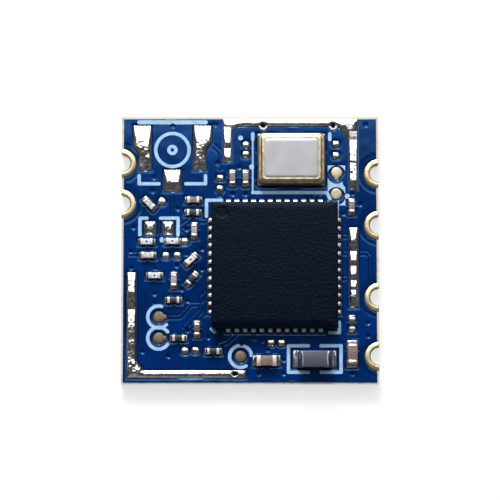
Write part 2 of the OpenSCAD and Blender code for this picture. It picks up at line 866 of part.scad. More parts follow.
module shield_solder_left() {
    bottom = bottom_track_y - end_track_w / 2;
    start_x = left_wall_x - side_track_w / 2;
    middle = [left_wall_x, left_leg_y[1]];
    color("#d8d8d8") translate([0, 0, land_z]) difference() {
        union() {
            leg_bead([start_x, bottom_track_y], [bottom_track_end_x, bottom_track_y], end_track_w);
            leg_bead([left_wall_x, bottom], middle + [0, bead_lap], side_track_w);
            leg_bead(middle - [0, bead_lap], [left_wall_x, left_leg_y[0]], side_track_w);
            web_solder(-1);
        }
        open_via_cuts();
    }
}

module shield_solder_right() {
    middle = [right_wall_x, right_leg_y[1]];
    color("#d8d8d8") translate([0, 0, land_z]) {
        leg_bead([right_wall_x, right_leg_y[2]], middle + [0, bead_lap], side_track_w);
        leg_bead(middle - [0, bead_lap], [right_wall_x, right_leg_y[0]], side_track_w);
    }
}

module chip_solder() {
    color("#d8d8d8") {
        translate([0, 0, seat_z]) at_leads() solder_joint(lead_l, chip_toe, lead_w, lead_t);
        translate([chip_x, chip_y, land_z]) linear_extrude(solder_t)
            square(ground_pad_w, center = true);
    }
}

module part_solder() {
    color("#d8d8d8") {
        at_places(concat(capacitors, inductors))
            part_joints(small_l, small_w, small_t, small_cap_l, small_toe);
        at_places(resistors)
            part_joints(small_l, small_w, resistor_t, small_cap_l, small_toe);
        at_places(large_capacitors)
            part_joints(large_l, large_w, large_t, large_cap_l, large_toe);
        at_places(power_inductor)
            part_joints(inductor_l, inductor_w, inductor_t, inductor_cap_l, inductor_toe);
        translate([0, 0, land_z]) linear_extrude(solder_t) crystal_lands(0);
    }
}

// Radio chip

module lead_outline() {
    translate([-lead_l + lead_w / 2, -lead_w / 2]) square([lead_l - lead_w / 2, lead_w]);
    translate([-lead_l + lead_w / 2, 0]) circle(lead_w / 2);
}

// Square pad with one corner cut off, which marks the first lead
module ground_pad_outline() {
    half = ground_pad_w / 2;
    corner = 0.4;
    polygon([
        [-half, -half], [half, -half], [half, half], [corner - half, half], [-half, half - corner]
    ]);
}

module chip_body() {
    mark = chip_w / 2 - pin_mark_inset;
    mark_depth = 0.03;
    color("#14161f") difference() {
        translate([chip_x - chip_w / 2, chip_y - chip_w / 2, seat_z]) cube([chip_w, chip_w, chip_t]);
        translate([0, 0, seat_z - cut]) linear_extrude(lead_t + cut) {
            at_leads() lead_outline();
            translate([chip_x, chip_y]) ground_pad_outline();
        }
        translate([chip_x - mark, chip_y + mark, seat_z + chip_t - mark_depth])
            cylinder(r = pin_mark_r, h = deep);
    }
}

module chip_leads() {
    color("#c8c8cc") translate([0, 0, seat_z]) linear_extrude(lead_t) at_leads() lead_outline();
}

module chip_ground_pad() {
    color("#c8c8cc") translate([chip_x, chip_y, seat_z]) linear_extrude(lead_t) ground_pad_outline();
}

// Crystal

module crystal_pads() {
    color("#c9b483") translate([0, 0, seat_z]) linear_extrude(crystal_pad_t) difference() {
        at_crystal_corners() translate(-crystal_pad_size) square(crystal_pad_size);
        at_crystal_corners() circle(notch_r);
    }
}

module cavity_outline() {
    rounded_rectangle(cavity_size, cavity_corner_r);
}

module crystal_base() {
    color("#4a4148") difference() {
        translate([0, 0, crystal_base_z]) linear_extrude(crystal_base_t) difference() {
            translate([crystal_x, crystal_y]) square([crystal_l, crystal_w], center = true);
            at_crystal_corners() circle(notch_r);
        }
        translate([crystal_x, crystal_y, crystal_base_z + crystal_floor_t]) difference() {
            linear_extrude(crystal_base_t) cavity_outline();
            translate([-cavity_size.x / 2, -cavity_size.y / 2, 0])
                cube([blank_shelf_l, cavity_size.y, blank_shelf_t]);
        }
    }
}

// Quartz blank, held at one end on the shelf of the cavity
module quartz_blank() {
    size = cavity_size - 2 * [blank_clearance, blank_clearance];
    shelf_z = crystal_base_z + crystal_floor_t + blank_shelf_t;
    color("#dfe8ee") translate([crystal_x - size.x / 2, crystal_y - size.y / 2, shelf_z])
        cube([size.x, size.y, blank_t]);
}

module crystal_seal_ring() {
    corner_r = 0.28;
    color("#b8975a") translate([crystal_x, crystal_y, ring_z]) linear_extrude(ring_t) difference() {
        rounded_rectangle(ring_size, corner_r);
        cavity_outline();
    }
}

// Bevelled block: a rectangle that narrows by the same width on every side as it rises
module bevelled_panel(size, h, slope) {
    intersection() {
        rotate([90, 0, 0]) linear_extrude(size.y, center = true)
            polygon([
                [-size.x / 2, 0], [size.x / 2, 0],
                [size.x / 2 - slope, h], [slope - size.x / 2, h]
            ]);
        rotate([90, 0, 90]) linear_extrude(size.x, center = true)
            polygon([
                [-size.y / 2, 0], [size.y / 2, 0],
                [size.y / 2 - slope, h], [slope - size.y / 2, h]
            ]);
    }
}

module crystal_lid() {
    corner_r = 0.2;
    color("#c4c4c6") translate([crystal_x, crystal_y, lid_z]) intersection() {
        linear_extrude(lid_rim_t + lid_rise) rounded_rectangle(lid_size, corner_r);
        union() {
            translate([0, 0, lid_rim_t / 2]) cube([lid_size.x, lid_size.y, lid_rim_t], center = true);
            translate([0, 0, lid_rim_t])
                bevelled_panel(lid_size - 2 * [lid_ledge_w, lid_ledge_w], lid_rise, lid_slope_w);
        }
    }
}

// Chip parts

module power_inductor_body() {
    color("#3a3842") at_places(power_inductor) part_block(inductor_l, inductor_w, inductor_t);
}

module power_inductor_ends() {
    color("#d0d0d2") at_places(power_inductor)
        part_caps(inductor_l, inductor_w, inductor_t, inductor_cap_l);
}

module large_capacitor_ends() {
    color("#d0d0d2") at_places(large_capacitors) part_caps(large_l, large_w, large_t, large_cap_l);
}

module capacitor_ends() {
    color("#d0d0d2") at_places(capacitors) part_caps(small_l, small_w, small_t, small_cap_l);
}

module resistor_ends() {
    color("#d0d0d2") at_places(resistors) part_caps(small_l, small_w, resistor_t, small_cap_l);
}

module inductor_ends() {
    color("#d0d0d2") at_places(inductors) part_caps(small_l, small_w, small_t, small_cap_l);
}

module large_capacitor(i) {
    color("#6b5248") at_places([large_capacitors[i]]) part_block(large_l, large_w, large_t);
}

module capacitor(i) {
    color("#77635c") at_places([capacitors[i]]) part_block(small_l, small_w, small_t);
}

module resistor(i) {
    color("#1c1a20") at_places([resistors[i]]) part_block(small_l, small_w, resistor_t);
}

module inductor(i) {
    color("#d8d4d8") at_places([inductors[i]]) part_block(small_l, small_w, small_t);
}

// Assembly

laminate();
solder_mask_top();
solder_mask_bottom();
silkscreen();
copper_lands();
test_point_lands();
via_barrels();
connector_solder();
bare_pad_solder();
shield_solder_top();
shield_solder_left();
shield_solder_right();
chip_solder();
part_solder();
chip_body();
chip_leads();
chip_ground_pad();
crystal_pads();
crystal_base();
quartz_blank();
crystal_seal_ring();
crystal_lid();
power_inductor_body();
power_inductor_ends();
large_capacitor_ends();
capacitor_ends();
resistor_ends();
inductor_ends();
for (i = [1 : len(left_holes_y)]) {
    translate([-board_w / 2, left_holes_y[i - 1], 0]) terminal();
}
for (i = [1 : len(right_holes_y)]) {
    translate([board_w / 2, right_holes_y[i - 1], 0]) rotate(180) terminal();
}
for (i = [1 : len(large_capacitors)]) {
    large_capacitor(i - 1);
}
for (i = [1 : len(capacitors)]) {
    capacitor(i - 1);
}
for (i = [1 : len(resistors)]) {
    resistor(i - 1);
}
for (i = [1 : len(inductors)]) {
    inductor(i - 1);
}
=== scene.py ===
"""Solder-down radio board with castellated edges, dressed for rendering.

The CAD nodes give every place and size. Pieces that need a softer or finer form than the solids
have are rebuilt here over the same outlines, and the rest keep their CAD mesh under a new finish.
"""
import math

import bmesh
import bpy
import numpy as np
from bpy.props import FloatProperty, FloatVectorProperty, IntProperty, PointerProperty
from mathutils import Matrix, Vector, noise
from mathutils.geometry import delaunay_2d_cdt
from mathutils.kdtree import KDTree


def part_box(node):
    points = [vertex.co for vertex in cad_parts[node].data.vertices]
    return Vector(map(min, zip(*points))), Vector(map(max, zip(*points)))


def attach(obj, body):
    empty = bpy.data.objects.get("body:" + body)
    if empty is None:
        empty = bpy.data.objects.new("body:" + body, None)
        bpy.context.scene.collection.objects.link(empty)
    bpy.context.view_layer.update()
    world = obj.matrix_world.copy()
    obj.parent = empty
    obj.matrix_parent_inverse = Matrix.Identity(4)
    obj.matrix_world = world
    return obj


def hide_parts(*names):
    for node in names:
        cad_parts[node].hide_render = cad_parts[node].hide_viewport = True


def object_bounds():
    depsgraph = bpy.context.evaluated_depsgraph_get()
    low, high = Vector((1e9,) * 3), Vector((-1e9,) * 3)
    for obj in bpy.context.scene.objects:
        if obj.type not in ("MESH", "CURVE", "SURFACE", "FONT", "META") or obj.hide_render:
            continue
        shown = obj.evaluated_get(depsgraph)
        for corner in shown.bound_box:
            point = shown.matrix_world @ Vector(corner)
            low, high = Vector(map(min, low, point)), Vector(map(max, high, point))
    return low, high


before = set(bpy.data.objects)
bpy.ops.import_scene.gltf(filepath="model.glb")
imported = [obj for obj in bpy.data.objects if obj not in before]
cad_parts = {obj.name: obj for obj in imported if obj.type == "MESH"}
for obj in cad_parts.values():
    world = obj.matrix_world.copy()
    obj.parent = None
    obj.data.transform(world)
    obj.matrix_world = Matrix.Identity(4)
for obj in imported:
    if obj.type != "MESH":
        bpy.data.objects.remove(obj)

bl_info = {
    "name": "Castellated radio board",
    "version": (1, 0, 0),
    "blender": (4, 5, 0),
    "location": "View3D > Sidebar > Board",
    "description": "Dresses the CAD model of a small solder-down radio board",
    "category": "Object",
}

MM = 0.001
CAD_BOX = [list(corner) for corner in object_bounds()]


def linear(colour):
    """Linear RGB of an sRGB hex colour."""
    channels = [int(colour[i:i + 2], 16) / 255 for i in (1, 3, 5)]
    return tuple(c / 12.92 if c <= 0.04045 else ((c + 0.055) / 1.055) ** 2.4 for c in channels)


def board():
    """The settings in the sidebar panel."""
    return bpy.context.scene.radio_board


# Reading the CAD nodes

def cad_shell(node):
    """Corners and faces of a CAD node, with corners at one place joined."""
    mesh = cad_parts[node].data
    places, corners, joined = {}, [], []
    for vertex in mesh.vertices:
        key = tuple(round(c, 8) for c in vertex.co)
        if key not in places:
            places[key] = len(corners)
            corners.append(tuple(vertex.co))
        joined.append(places[key])
    faces = [[joined[i] for i in polygon.vertices] for polygon in mesh.polygons]
    return corners, faces


def cad_solids(node):
    """The corners of each loose solid of a CAD node, in a fixed order."""
    corners, faces = cad_shell(node)
    leader = list(range(len(corners)))

    def find(i):
        while leader[i] != i:
            leader[i] = leader[leader[i]]
            i = leader[i]
        return i

    for face in faces:
        for i in face[1:]:
            leader[find(i)] = find(face[0])
    groups = {}
    for i, corner in enumerate(corners):
        groups.setdefault(find(i), []).append(corner)
    solids = [np.array(group) for group in groups.values()]
    return sorted(solids, key=lambda s: tuple(s.mean(0).round(6)))


def cad_outlines(node, z):
    """Outlines of a CAD node's flat faces at this height, each a closed row of (x, y).

    Material lies to the left of each outline, whichever way the flat faces look."""
    corners, faces = cad_shell(node)
    edges = {}
    for face in faces:
        if any(abs(corners[i][2] - z) > 2e-7 for i in face):
            continue
        a, b, c = (Vector(corners[i]) for i in face[:3])
        ring = face if (b - a).cross(c - a).z > 0 else face[::-1]
        for start, end in zip(ring, ring[1:] + ring[:1]):
            if edges.get(end) and start in edges[end]:
                edges[end].remove(start)
            else:
                edges.setdefault(start, []).append(end)
    outlines = []
    while any(edges.values()):
        start = next(i for i, ends in edges.items() if ends)
        row, here = [], start
        while True:
            row.append(corners[here][:2])
            here = edges[here].pop()
            if here == start:
                break
        outlines.append(row)
    return outlines


def straight_box(corners):
    """Centre, half sizes and turn about Z of the smallest upright box round these corners."""
    flat = np.unique(corners[:, :2].round(8), axis=0)
    best = None
    for degrees in np.arange(-45, 45.01, 0.5):
        turn = math.radians(degrees)
        axes = np.array([[math.cos(turn), math.sin(turn)], [-math.sin(turn), math.cos(turn)]])
        along = flat @ axes.T
        low, high = along.min(0), along.max(0)
        area = np.prod(high - low)
        if best is None or area < best[0] * (1 - 1e-6):
            best = (area, turn, (low + high) / 2 @ axes, (high - low) / 2)
    z_low, z_high = corners[:, 2].min(), corners[:, 2].max()
    _, turn, centre, half = best
    return Vector((*centre, (z_low + z_high) / 2)), Vector((*half, (z_high - z_low) / 2)), turn


# Making meshes

def new_piece(name, shape, finish, nodes=(), smooth=True):
    """Adds a piece of (corners, faces) in metres. It rides on the board and replaces the nodes."""
    corners, faces = shape
    mesh = bpy.data.meshes.new(name)
    mesh.from_pydata([tuple(c) for c in corners], [], [tuple(f) for f in faces])
    mesh.validate()
    mesh.update()
    mesh.polygons.foreach_set("use_smooth", [smooth] * len(mesh.polygons))
    piece = bpy.data.objects.new(name, mesh)
    bpy.context.scene.collection.objects.link(piece)
    mesh.materials.append(finish)
    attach(piece, "root")
    if nodes:
        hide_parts(*nodes)
    return piece


def finish_node(node, finish):
    """Gives a CAD node, whose shape stays, a new finish."""
    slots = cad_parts[node].material_slots
    for slot in slots:
        slot.material = finish


def merged(shapes):
    """One (corners, faces) from several."""
    corners, faces = [], []
    for more_corners, more_faces in shapes:
        start = len(corners)
        corners.extend(more_corners)
        faces.extend([i + start for i in face] for face in more_faces)
    return corners, faces


def placed(shape, centre, turn):
    """The shape turned about Z and moved to a centre."""
    matrix = Matrix.Translation(centre) @ Matrix.Rotation(turn, 4, "Z")
    return [tuple(matrix @ Vector(c)) for c in shape[0]], shape[1]


def rounded_block(half, radius, steps=3):
    """Box of these half sizes whose edges and corners are rounded."""
    bm = bmesh.new()
    bmesh.ops.create_cube(bm, size=2)
    bmesh.ops.scale(bm, vec=half, verts=bm.verts)
    bmesh.ops.bevel(bm, geom=bm.edges[:], offset=radius, segments=steps, profile=0.5,
                    affect="EDGES", clamp_overlap=True)
    bm.verts.index_update()
    shape = [tuple(v.co) for v in bm.verts], [[v.index for v in f.verts] for f in bm.faces]
    bm.free()
    return shape


def rectangle_ring(half, radius, steps=6):
    """Row of points round a rectangle with rounded corners."""
    radius = min(radius, half[0], half[1])
    row = []
    for quarter, (sx, sy) in enumerate(((1, 1), (-1, 1), (-1, -1), (1, -1))):
        for i in range(steps + 1):
            angle = math.radians(90 * (quarter + i / steps))
            row.append((sx * (half[0] - radius) + radius * math.cos(angle),
                        sy * (half[1] - radius) + radius * math.sin(angle)))
    return row


def lofted(rings, closed_ends=True):
    """Skin over rows of equal length, each a row of 3-D points."""
    count = len(rings[0])
    corners = [p for ring in rings for p in ring]
    faces = []
    for k in range(len(rings) - 1):
        for i in range(count):
            j = (i + 1) % count
            faces.append([k * count + i, k * count + j, (k + 1) * count + j, (k + 1) * count + i])
    if closed_ends:
        faces.append(list(range(count))[::-1])
        faces.append([(len(rings) - 1) * count + i for i in range(count)])
    return corners, faces


def lathed(profile, centre, start, turn, steps):
    """Profile of (radius, z) swept about an upright axis through the centre."""
    whole = abs(turn - 2 * math.pi) < 1e-9
    columns = steps if whole else steps + 1
    corners, faces = [], []
    for k in range(columns):
        angle = start + turn * k / steps
        for radius, z in profile:
            corners.append((centre[0] + radius * math.cos(angle),
                            centre[1] + radius * math.sin(angle), z))
    rows = len(profile)
    for k in range(steps):
        here, there = k * rows, (k + 1) % columns * rows
        for i in range(rows - 1):
            faces.append([here + i, there + i, there + i + 1, here + i + 1])
    return corners, faces


def welded(shape):
    """The shape with corners at one place joined and every face looking outwards."""
    mesh = bpy.data.meshes.new("welded")
    mesh.from_pydata(shape[0], [], shape[1])
    bm = bmesh.new()
    bm.from_mesh(mesh)
    bmesh.ops.remove_doubles(bm, verts=bm.verts, dist=1e-8)
    bmesh.ops.recalc_face_normals(bm, faces=bm.faces)
    bm.to_mesh(mesh)
    bm.free()
    clean = [tuple(v.co) for v in mesh.vertices], [list(p.vertices) for p in mesh.polygons]
    bpy.data.meshes.remove(mesh)
    return clean


def evened(outline, step):
    """The outline with points added until none are further apart than a step."""
    row = []
    for a, b in zip(outline, outline[1:] + outline[:1]):
        parts = max(1, math.ceil(math.dist(a, b) / step))
        row += [(a[0] + (b[0] - a[0]) * i / parts, a[1] + (b[1] - a[1]) * i / parts)
                for i in range(parts)]
    return row


def bowed_prism(half, bow, radius, steps=8):
    """Upright block whose +X side bows outwards, with its top edge rounded."""
    outline = [(-half[0], half[1]), (-half[0], -half[1])]
    outline += [(half[0] - bow + bow * math.cos(a), half[1] * math.sin(a))
                for a in np.linspace(-math.pi / 2, math.pi / 2, 2 * steps + 1)]
    rings = [[(x, y, -half[2]) for x, y in outline]]
    for lift in np.linspace(0, math.pi / 2, steps // 2 + 1):
        inset = radius * (1 - math.cos(lift))
        z = half[2] - radius * (1 - math.sin(lift))
        rings.append([(x * (1 - inset / half[0]), y * (1 - inset / half[1]), z)
                      for x, y in outline])
    return lofted(rings)


def solder_mound(length, width, rise, hollow, steps=8):
    """Frozen solder that runs down from a wall at x = 0 to a round tip on its land."""
    rows = []
    for k in range(steps + 1):
        u = k / steps
        side = width * math.sqrt(max(0.0, 1 - (0.93 * u) ** 3))
        row = []
        for a in np.linspace(-1, 1, 2 * steps + 1):
            across = side * math.sin(a * math.pi / 2)
            z = rise * (1 - u) ** hollow * (1 - abs(a) ** 3)
            row.append((length * u * (1 - 0.1 * a * a), across, z))
        rows.append(row)
    count = len(rows[0])
    corners = [p for row in rows for p in row]
    faces = [[k * count + i, (k + 1) * count + i, (k + 1) * count + i + 1, k * count + i + 1]
             for k in range(steps) for i in range(count - 1)]
    return corners, faces


def part_joint(solid, centre, half, turn):
    """Solder between a part's end face and its land, in the place of a CAD joint."""
    # The joint's highest corners stand at the part's end face
    local = (solid - np.array(centre)) @ np.array(Matrix.Rotation(turn, 3, "Z"))
    peak = local[local[:, 2] > half.z - 0.003 * MM][:, :2]
    axis = int(np.ptp(peak[:, 1]) < np.ptp(peak[:, 0]))
    face = peak[:, axis].mean()
    sign = 1 if face > 0 else -1
    mound = solder_mound(half[axis] - abs(face), half[1 - axis], 2 * half.z * 0.95, 1.5)
    aim = (0 if sign > 0 else math.pi) if axis == 0 else sign * math.pi / 2
    start = Vector((face, 0, 0)) if axis == 0 else Vector((0, face, 0))
    spot = Matrix.Rotation(turn, 4, "Z") @ start
    return placed(mound, centre + spot + Vector((0, 0, 0.012 * MM - half.z)), turn + aim)


def dished_block(low, high):
    """The radio chip's moulded body, with the dish that the mould's ejector pin leaves."""
    corners, _ = cad_shell("chip_body")
    centre = (low + high) / 2
    deepest = 0.1 * MM
    inside = [c for c in corners if high.z - deepest < c[2] < high.z - 0.001 * MM]
    mark = Vector(np.mean([c[:2] for c in inside], axis=0))
    radius = max(math.dist(c[:2], mark) for c in inside)
    edge, corner_r = 0.03 * MM, 0.02 * MM
    rings = []
    for inset, z in ((0, low.z), (0, high.z - edge), (0.3 * edge, high.z - 0.3 * edge),
                     (edge, high.z)):
        half = ((high.x - low.x) / 2 - inset, (high.y - low.y) / 2 - inset)
        rings.append([(centre.x + x, centre.y + y, z)
                      for x, y in rectangle_ring(half, corner_r, 3)])
    walls = lofted(rings, closed_ends=False)
    # The dish has a soft lip: each pair is a share of its radius and one of its depth
    depth, steps = 0.014 * MM, 48
    rows = []
    for share, sink in ((1.12, 0), (1.04, 0.03), (1, 0.25), (0.95, 0.7), (0.86, 0.95),
                        (0.7, 1), (0.35, 1), (0.02, 1)):
        rows.append([(mark.x + radius * share * math.cos(a),
                      mark.y + radius * share * math.sin(a), high.z - depth * sink)
                     for a in np.linspace(0, 2 * math.pi, steps, endpoint=False)])
    flat = Region([[p[:2] for p in rings[-1]], [p[:2] for p in rows[0]][::-1]], 0.5 * MM)
    top = [(x, y, high.z) for x, y in flat.points], flat.faces
    dish = lofted(rows, closed_ends=False)
    dish[1].append([(len(rows) - 1) * steps + i for i in range(steps)])
    return welded(merged([walls, top, dish]))


def lead_joint(solid, axis, sign, face):
    """Dome of solder over a lead's toe. It stands against a wall across this axis."""
    low, high = solid.min(0), solid.max(0)
    middle = (low + high) / 2
    toe = abs((high if sign > 0 else low)[axis] - face)
    wide = (high - low)[1 - axis] / 2 * 1.05
    base, rise = low[2] + 0.01 * MM, (high - low)[2] * 0.92
    rows = []
    for lift in np.linspace(0, math.pi / 2, 8)[:-1]:
        row = []
        shrink = math.cos(lift) ** 0.55
        for a in np.linspace(-math.pi / 2, math.pi / 2, 13):
            place = [0, 0, base + rise * math.sin(lift) ** 0.8]
            place[axis] = face + sign * toe * math.cos(a) * shrink
            place[1 - axis] = middle[1 - axis] + wide * math.sin(a) * shrink
            row.append(tuple(place))
        rows.append(row)
    count = len(rows[0])
    faces = [[k * count + i, k * count + i + 1, (k + 1) * count + i + 1, (k + 1) * count + i]
             for k in range(len(rows) - 1) for i in range(count - 1)]
    faces.append([(len(rows) - 1) * count + i for i in range(count)])
    if (sign > 0) == (axis == 1):
        faces = [f[::-1] for f in faces]
    return [p for row in rows for p in row], faces


class Region:
    """Flat region inside outlines, cut into triangles over a grid of inner points."""

    def __init__(self, outlines, step, dense=None):
        """Outlines hold (x, y) in metres with material to their left. Dense holds more points,
        given as (points, the distance round each centre that they take over, centres)."""
        edge_points = [p for row in outlines for p in row]
        self.shore = np.array([p for row in outlines for p in evened(row, step / 3)])
        tree = self.tree(self.shore)
        low, high = self.shore.min(0), self.shore.max(0)
        inner = []
        for j, y in enumerate(np.arange(low[1], high[1], step * 0.866)):
            for x in np.arange(low[0] + step * (j % 2) / 2, high[0], step):
                if tree.find((x, y, 0))[2] > 0.45 * step:
                    inner.append((x, y))
        if dense:
            more, reach, centres = dense
            taken = self.tree(centres)
            inner = [p for p in inner if taken.find((*p, 0))[2] > reach]
            inner += [p for p in more if tree.find((*p, 0))[2] > 0.01 * MM]
        points = [Vector(p) / MM for p in edge_points + inner]
        edges, start = [], 0
        for row in outlines:
            edges += [(start + i, start + (i + 1) % len(row)) for i in range(len(row))]
            start += len(row)
        spots, _, faces, origins, _, _ = delaunay_2d_cdt(points, edges, [], 0, 1e-6)
        spot_of = {}
        for i, sources in enumerate(origins):
            for source in sources:
                spot_of[source] = i
        borders = {(spot_of[a], spot_of[b]) for a, b in edges}
        beside = {}
        for k, (a, b, c) in enumerate(faces):
            for edge in ((a, b), (b, c), (c, a)):
                beside[edge] = k
        kept = {beside[e] for e in borders if e in beside}
        front = list(kept)
        while front:
            a, b, c = faces[front.pop()]
            for edge in ((a, b), (b, c), (c, a)):
                other = beside.get(edge[::-1])
                if other is not None and other not in kept and edge not in borders \
                        and edge[::-1] not in borders:
                    kept.add(other)
                    front.append(other)
        used = sorted({i for k in kept for i in faces[k]})
        index = {spot: i for i, spot in enumerate(used)}
        self.points = np.array([spots[i] for i in used]) * MM
        self.faces = [[index[i] for i in faces[k]] for k in sorted(kept)]
        self.borders = [(index[a], index[b]) for a, b in borders if a in index and b in index]
        self.from_shore = np.array([tree.find((x, y, 0))[2] for x, y in self.points])
        self.on_shore = np.zeros(len(self.points), bool)
        self.on_shore[[i for pair in self.borders for i in pair]] = True

    @staticmethod
    def tree(points):
        """Search tree over flat points."""
        tree = KDTree(len(points))
        for i, (x, y) in enumerate(points):
            tree.insert((x, y, 0), i)
        tree.balance()
        return tree

    def liquid(self, rounds=900):
        """Height of a liquid that wets the region up to its outline, from 0 to 1."""
        pairs = np.array([e for a, b, c in self.faces for e in ((a, b), (b, c), (c, a))])
        pairs = np.unique(np.sort(pairs, axis=1), axis=0)
        count = np.bincount(pairs.ravel(), minlength=len(self.points))
        height = np.zeros(len(self.points))
        for _ in range(rounds):
            total = np.bincount(pairs[:, 0], height[pairs[:, 1]], len(height))
            total += np.bincount(pairs[:, 1], height[pairs[:, 0]], len(height))
            height = np.where(self.on_shore, 0, total / count + 1e-3)
        return height / height.max()

    def slab(self, heights, skirt_z):
        """(corners, faces) of the region at these heights, with walls down to the skirt."""
        corners = [(x, y, z) for (x, y), z in zip(self.points, heights)]
        faces = [list(f) for f in self.faces]
        below = {}
        for i in {i for pair in self.borders for i in pair}:
            below[i] = len(corners)
            corners.append((*self.points[i], skirt_z))
        faces += [[b, a, below[a], below[b]] for a, b in self.borders]
        return corners, faces


def smoothstep(low, high, value):
    """0 below low, 1 above high and a smooth rise between them."""
    t = np.clip((value - low) / (high - low), 0, 1)
    return t * t * (3 - 2 * t)


def lumps(points, size, seed):
    """Smooth seeded noise from about -1 to 1, with lumps of this size."""
    shift = Vector((31.7, 17.3, 9.1)) * seed
    return np.array([noise.noise(Vector((x, y, 0)) / size + shift) for x, y in points])


# Finishes

def add_node(tree, kind, settings=None, links=None):
    """Adds a shader node. Settings go to its attributes or inputs, links join its inputs."""
    node = tree.nodes.new(kind)
    for key, value in (settings or {}).items():
        if key == "stops":
            ramp = node.color_ramp.elements
            while len(ramp) < len(value):
                ramp.new(0.5)
            for element, (position, colour) in zip(ramp, value):
                element.position = position
                element.color = (*colour, 1)
        elif isinstance(key, str) and hasattr(node, key):
            setattr(node, key, value)
        else:
            node.inputs[key].default_value = value
    for key, socket in (links or {}).items():
        tree.links.new(socket, node.inputs[key])
    return node


def start_finish(name, metallic, roughness, **inputs):
    """New material, its node tree and its shader, with values that are the same all over."""
    finish = bpy.data.materials.new(name)
    finish.use_nodes = True
    tree = finish.node_tree
    shader = tree.nodes["Principled BSDF"]
    shader.inputs["Metallic"].default_value = metallic
    shader.inputs["Roughness"].default_value = roughness
    for key, value in inputs.items():
        shader.inputs[key.replace("_", " ")].default_value = value
    return finish, tree, shader


def mottled(tree, shader, light, dark, size, low=0.35, high=0.65):
    """Colour between dark and light in soft patches of this size, in metres.

    Gives the socket with the place on the piece, and the one with the patches."""
    place = add_node(tree, "ShaderNodeTexCoord").outputs["Object"]
    cloud = add_node(tree, "ShaderNodeTexNoise", {"Scale": 1 / size, "Detail": 3.0},
                     {"Vector": place}).outputs["Fac"]
    tone = add_node(tree, "ShaderNodeValToRGB", {"stops": [(low, dark), (high, light)]},
                    {"Fac": cloud})
    tree.links.new(tone.outputs["Color"], shader.inputs["Base Color"])
    return place, cloud


def bumped(tree, shader, place, size, height, detail=3.0, strength=1.0):
    """Uneven surface with bumps of this size and height, in metres."""
    grain = add_node(tree, "ShaderNodeTexNoise", {"Scale": 1 / size, "Detail": detail},
                     {"Vector": place})
    bump = add_node(tree, "ShaderNodeBump", {"Distance": height, "Strength": strength},
                    {"Height": grain.outputs["Fac"]})
    tree.links.new(bump.outputs["Normal"], shader.inputs["Normal"])


def solder_mask_finish():
    """Liquid solder mask, screen coated and cured: a glossy blue film that is bright over foil
    and nearly black over bare laminate. The 'foil' attribute tells them apart."""
    s = board()
    # The dye tints the gloss too, since most of it comes back from within the film
    finish, tree, shader = start_finish("cured_solder_mask", 0, 0.12, IOR=1.5,
                                        Specular_IOR_Level=0.8,
                                        Specular_Tint=(*linear("#6fb4f0"), 1))
    place = add_node(tree, "ShaderNodeTexCoord").outputs["Object"]
    foil = add_node(tree, "ShaderNodeAttribute", {"attribute_name": "foil"})
    # Foil brightness drifts over about 2 mm, as the film thickness does
    drift = add_node(tree, "ShaderNodeTexNoise", {"Scale": 1 / (2 * MM), "Detail": 2.0},
                     {"Vector": place})
    over_foil = add_node(tree, "ShaderNodeValToRGB",
                         {"stops": [(0.35, tuple(0.6 * c for c in s.mask_blue)),
                                    (0.6, tuple(s.mask_blue))]},
                         {"Fac": drift.outputs["Fac"]})
    colour = add_node(tree, "ShaderNodeMix", {"data_type": "RGBA", 6: (*s.mask_gap, 1)},
                      {0: foil.outputs["Fac"], 7: over_foil.outputs["Color"]})
    tree.links.new(colour.outputs[2], shader.inputs["Base Color"])
    # Pinholes and orange peel are about 0.05 mm across, drawn at 0.12 mm so that they show
    bumped(tree, shader, place, 0.12 * MM, 0.0012 * MM, strength=0.5)
    return finish


def laminate_finish():
    """Glass-epoxy laminate, sawn to size: matt beige walls with fine level glass layers."""
    finish, tree, shader = start_finish("sawn_glass_epoxy_laminate", 0, 0.65, IOR=1.55)
    place = add_node(tree, "ShaderNodeTexCoord").outputs["Object"]
    # Seven plies in 0.73 mm: a layer each 0.1 mm
    layers = add_node(tree, "ShaderNodeTexWave",
                      {"bands_direction": "Z", "Scale": 0.314 / (0.1 * MM), "Distortion": 1.5,
                       "Detail": 2.0, "Detail Scale": 1.5}, {"Vector": place})
    walls = add_node(tree, "ShaderNodeValToRGB",
                     {"stops": [(0.2, linear("#7d765f")), (0.8, linear("#b9b5a6"))]},
                     {"Fac": layers.outputs["Fac"]})
    # In the openings of the mask, inside the bare border strip, the top face is painted dark navy:
    # painted shade in the narrow gaps between the lands and the mask's edge
    geometry = add_node(tree, "ShaderNodeNewGeometry")
    facing = add_node(tree, "ShaderNodeSeparateXYZ", None, {0: geometry.outputs["Normal"]})
    spot = add_node(tree, "ShaderNodeSeparateXYZ", None, {0: place})
    border = 0.11 * MM
    dark = add_node(tree, "ShaderNodeMath", {"operation": "GREATER_THAN", 1: 0.5},
                    {0: facing.outputs["Z"]})
    for axis, reach in zip("XY", CAD_BOX[1]):
        away = add_node(tree, "ShaderNodeMath", {"operation": "ABSOLUTE"},
                        {0: spot.outputs[axis]})
        inside = add_node(tree, "ShaderNodeMath", {"operation": "LESS_THAN", 1: reach - border},
                          {0: away.outputs[0]})
        dark = add_node(tree, "ShaderNodeMath", {"operation": "MULTIPLY"},
                        {0: dark.outputs[0], 1: inside.outputs[0]})
    tone = add_node(tree, "ShaderNodeMix", {"data_type": "RGBA", 7: (*linear("#04143a"), 1)},
                    {0: dark.outputs[0], 6: walls.outputs["Color"]})
    tree.links.new(tone.outputs[2], shader.inputs["Base Color"])
    bumped(tree, shader, place, 0.04 * MM, 0.004 * MM)
    return finish


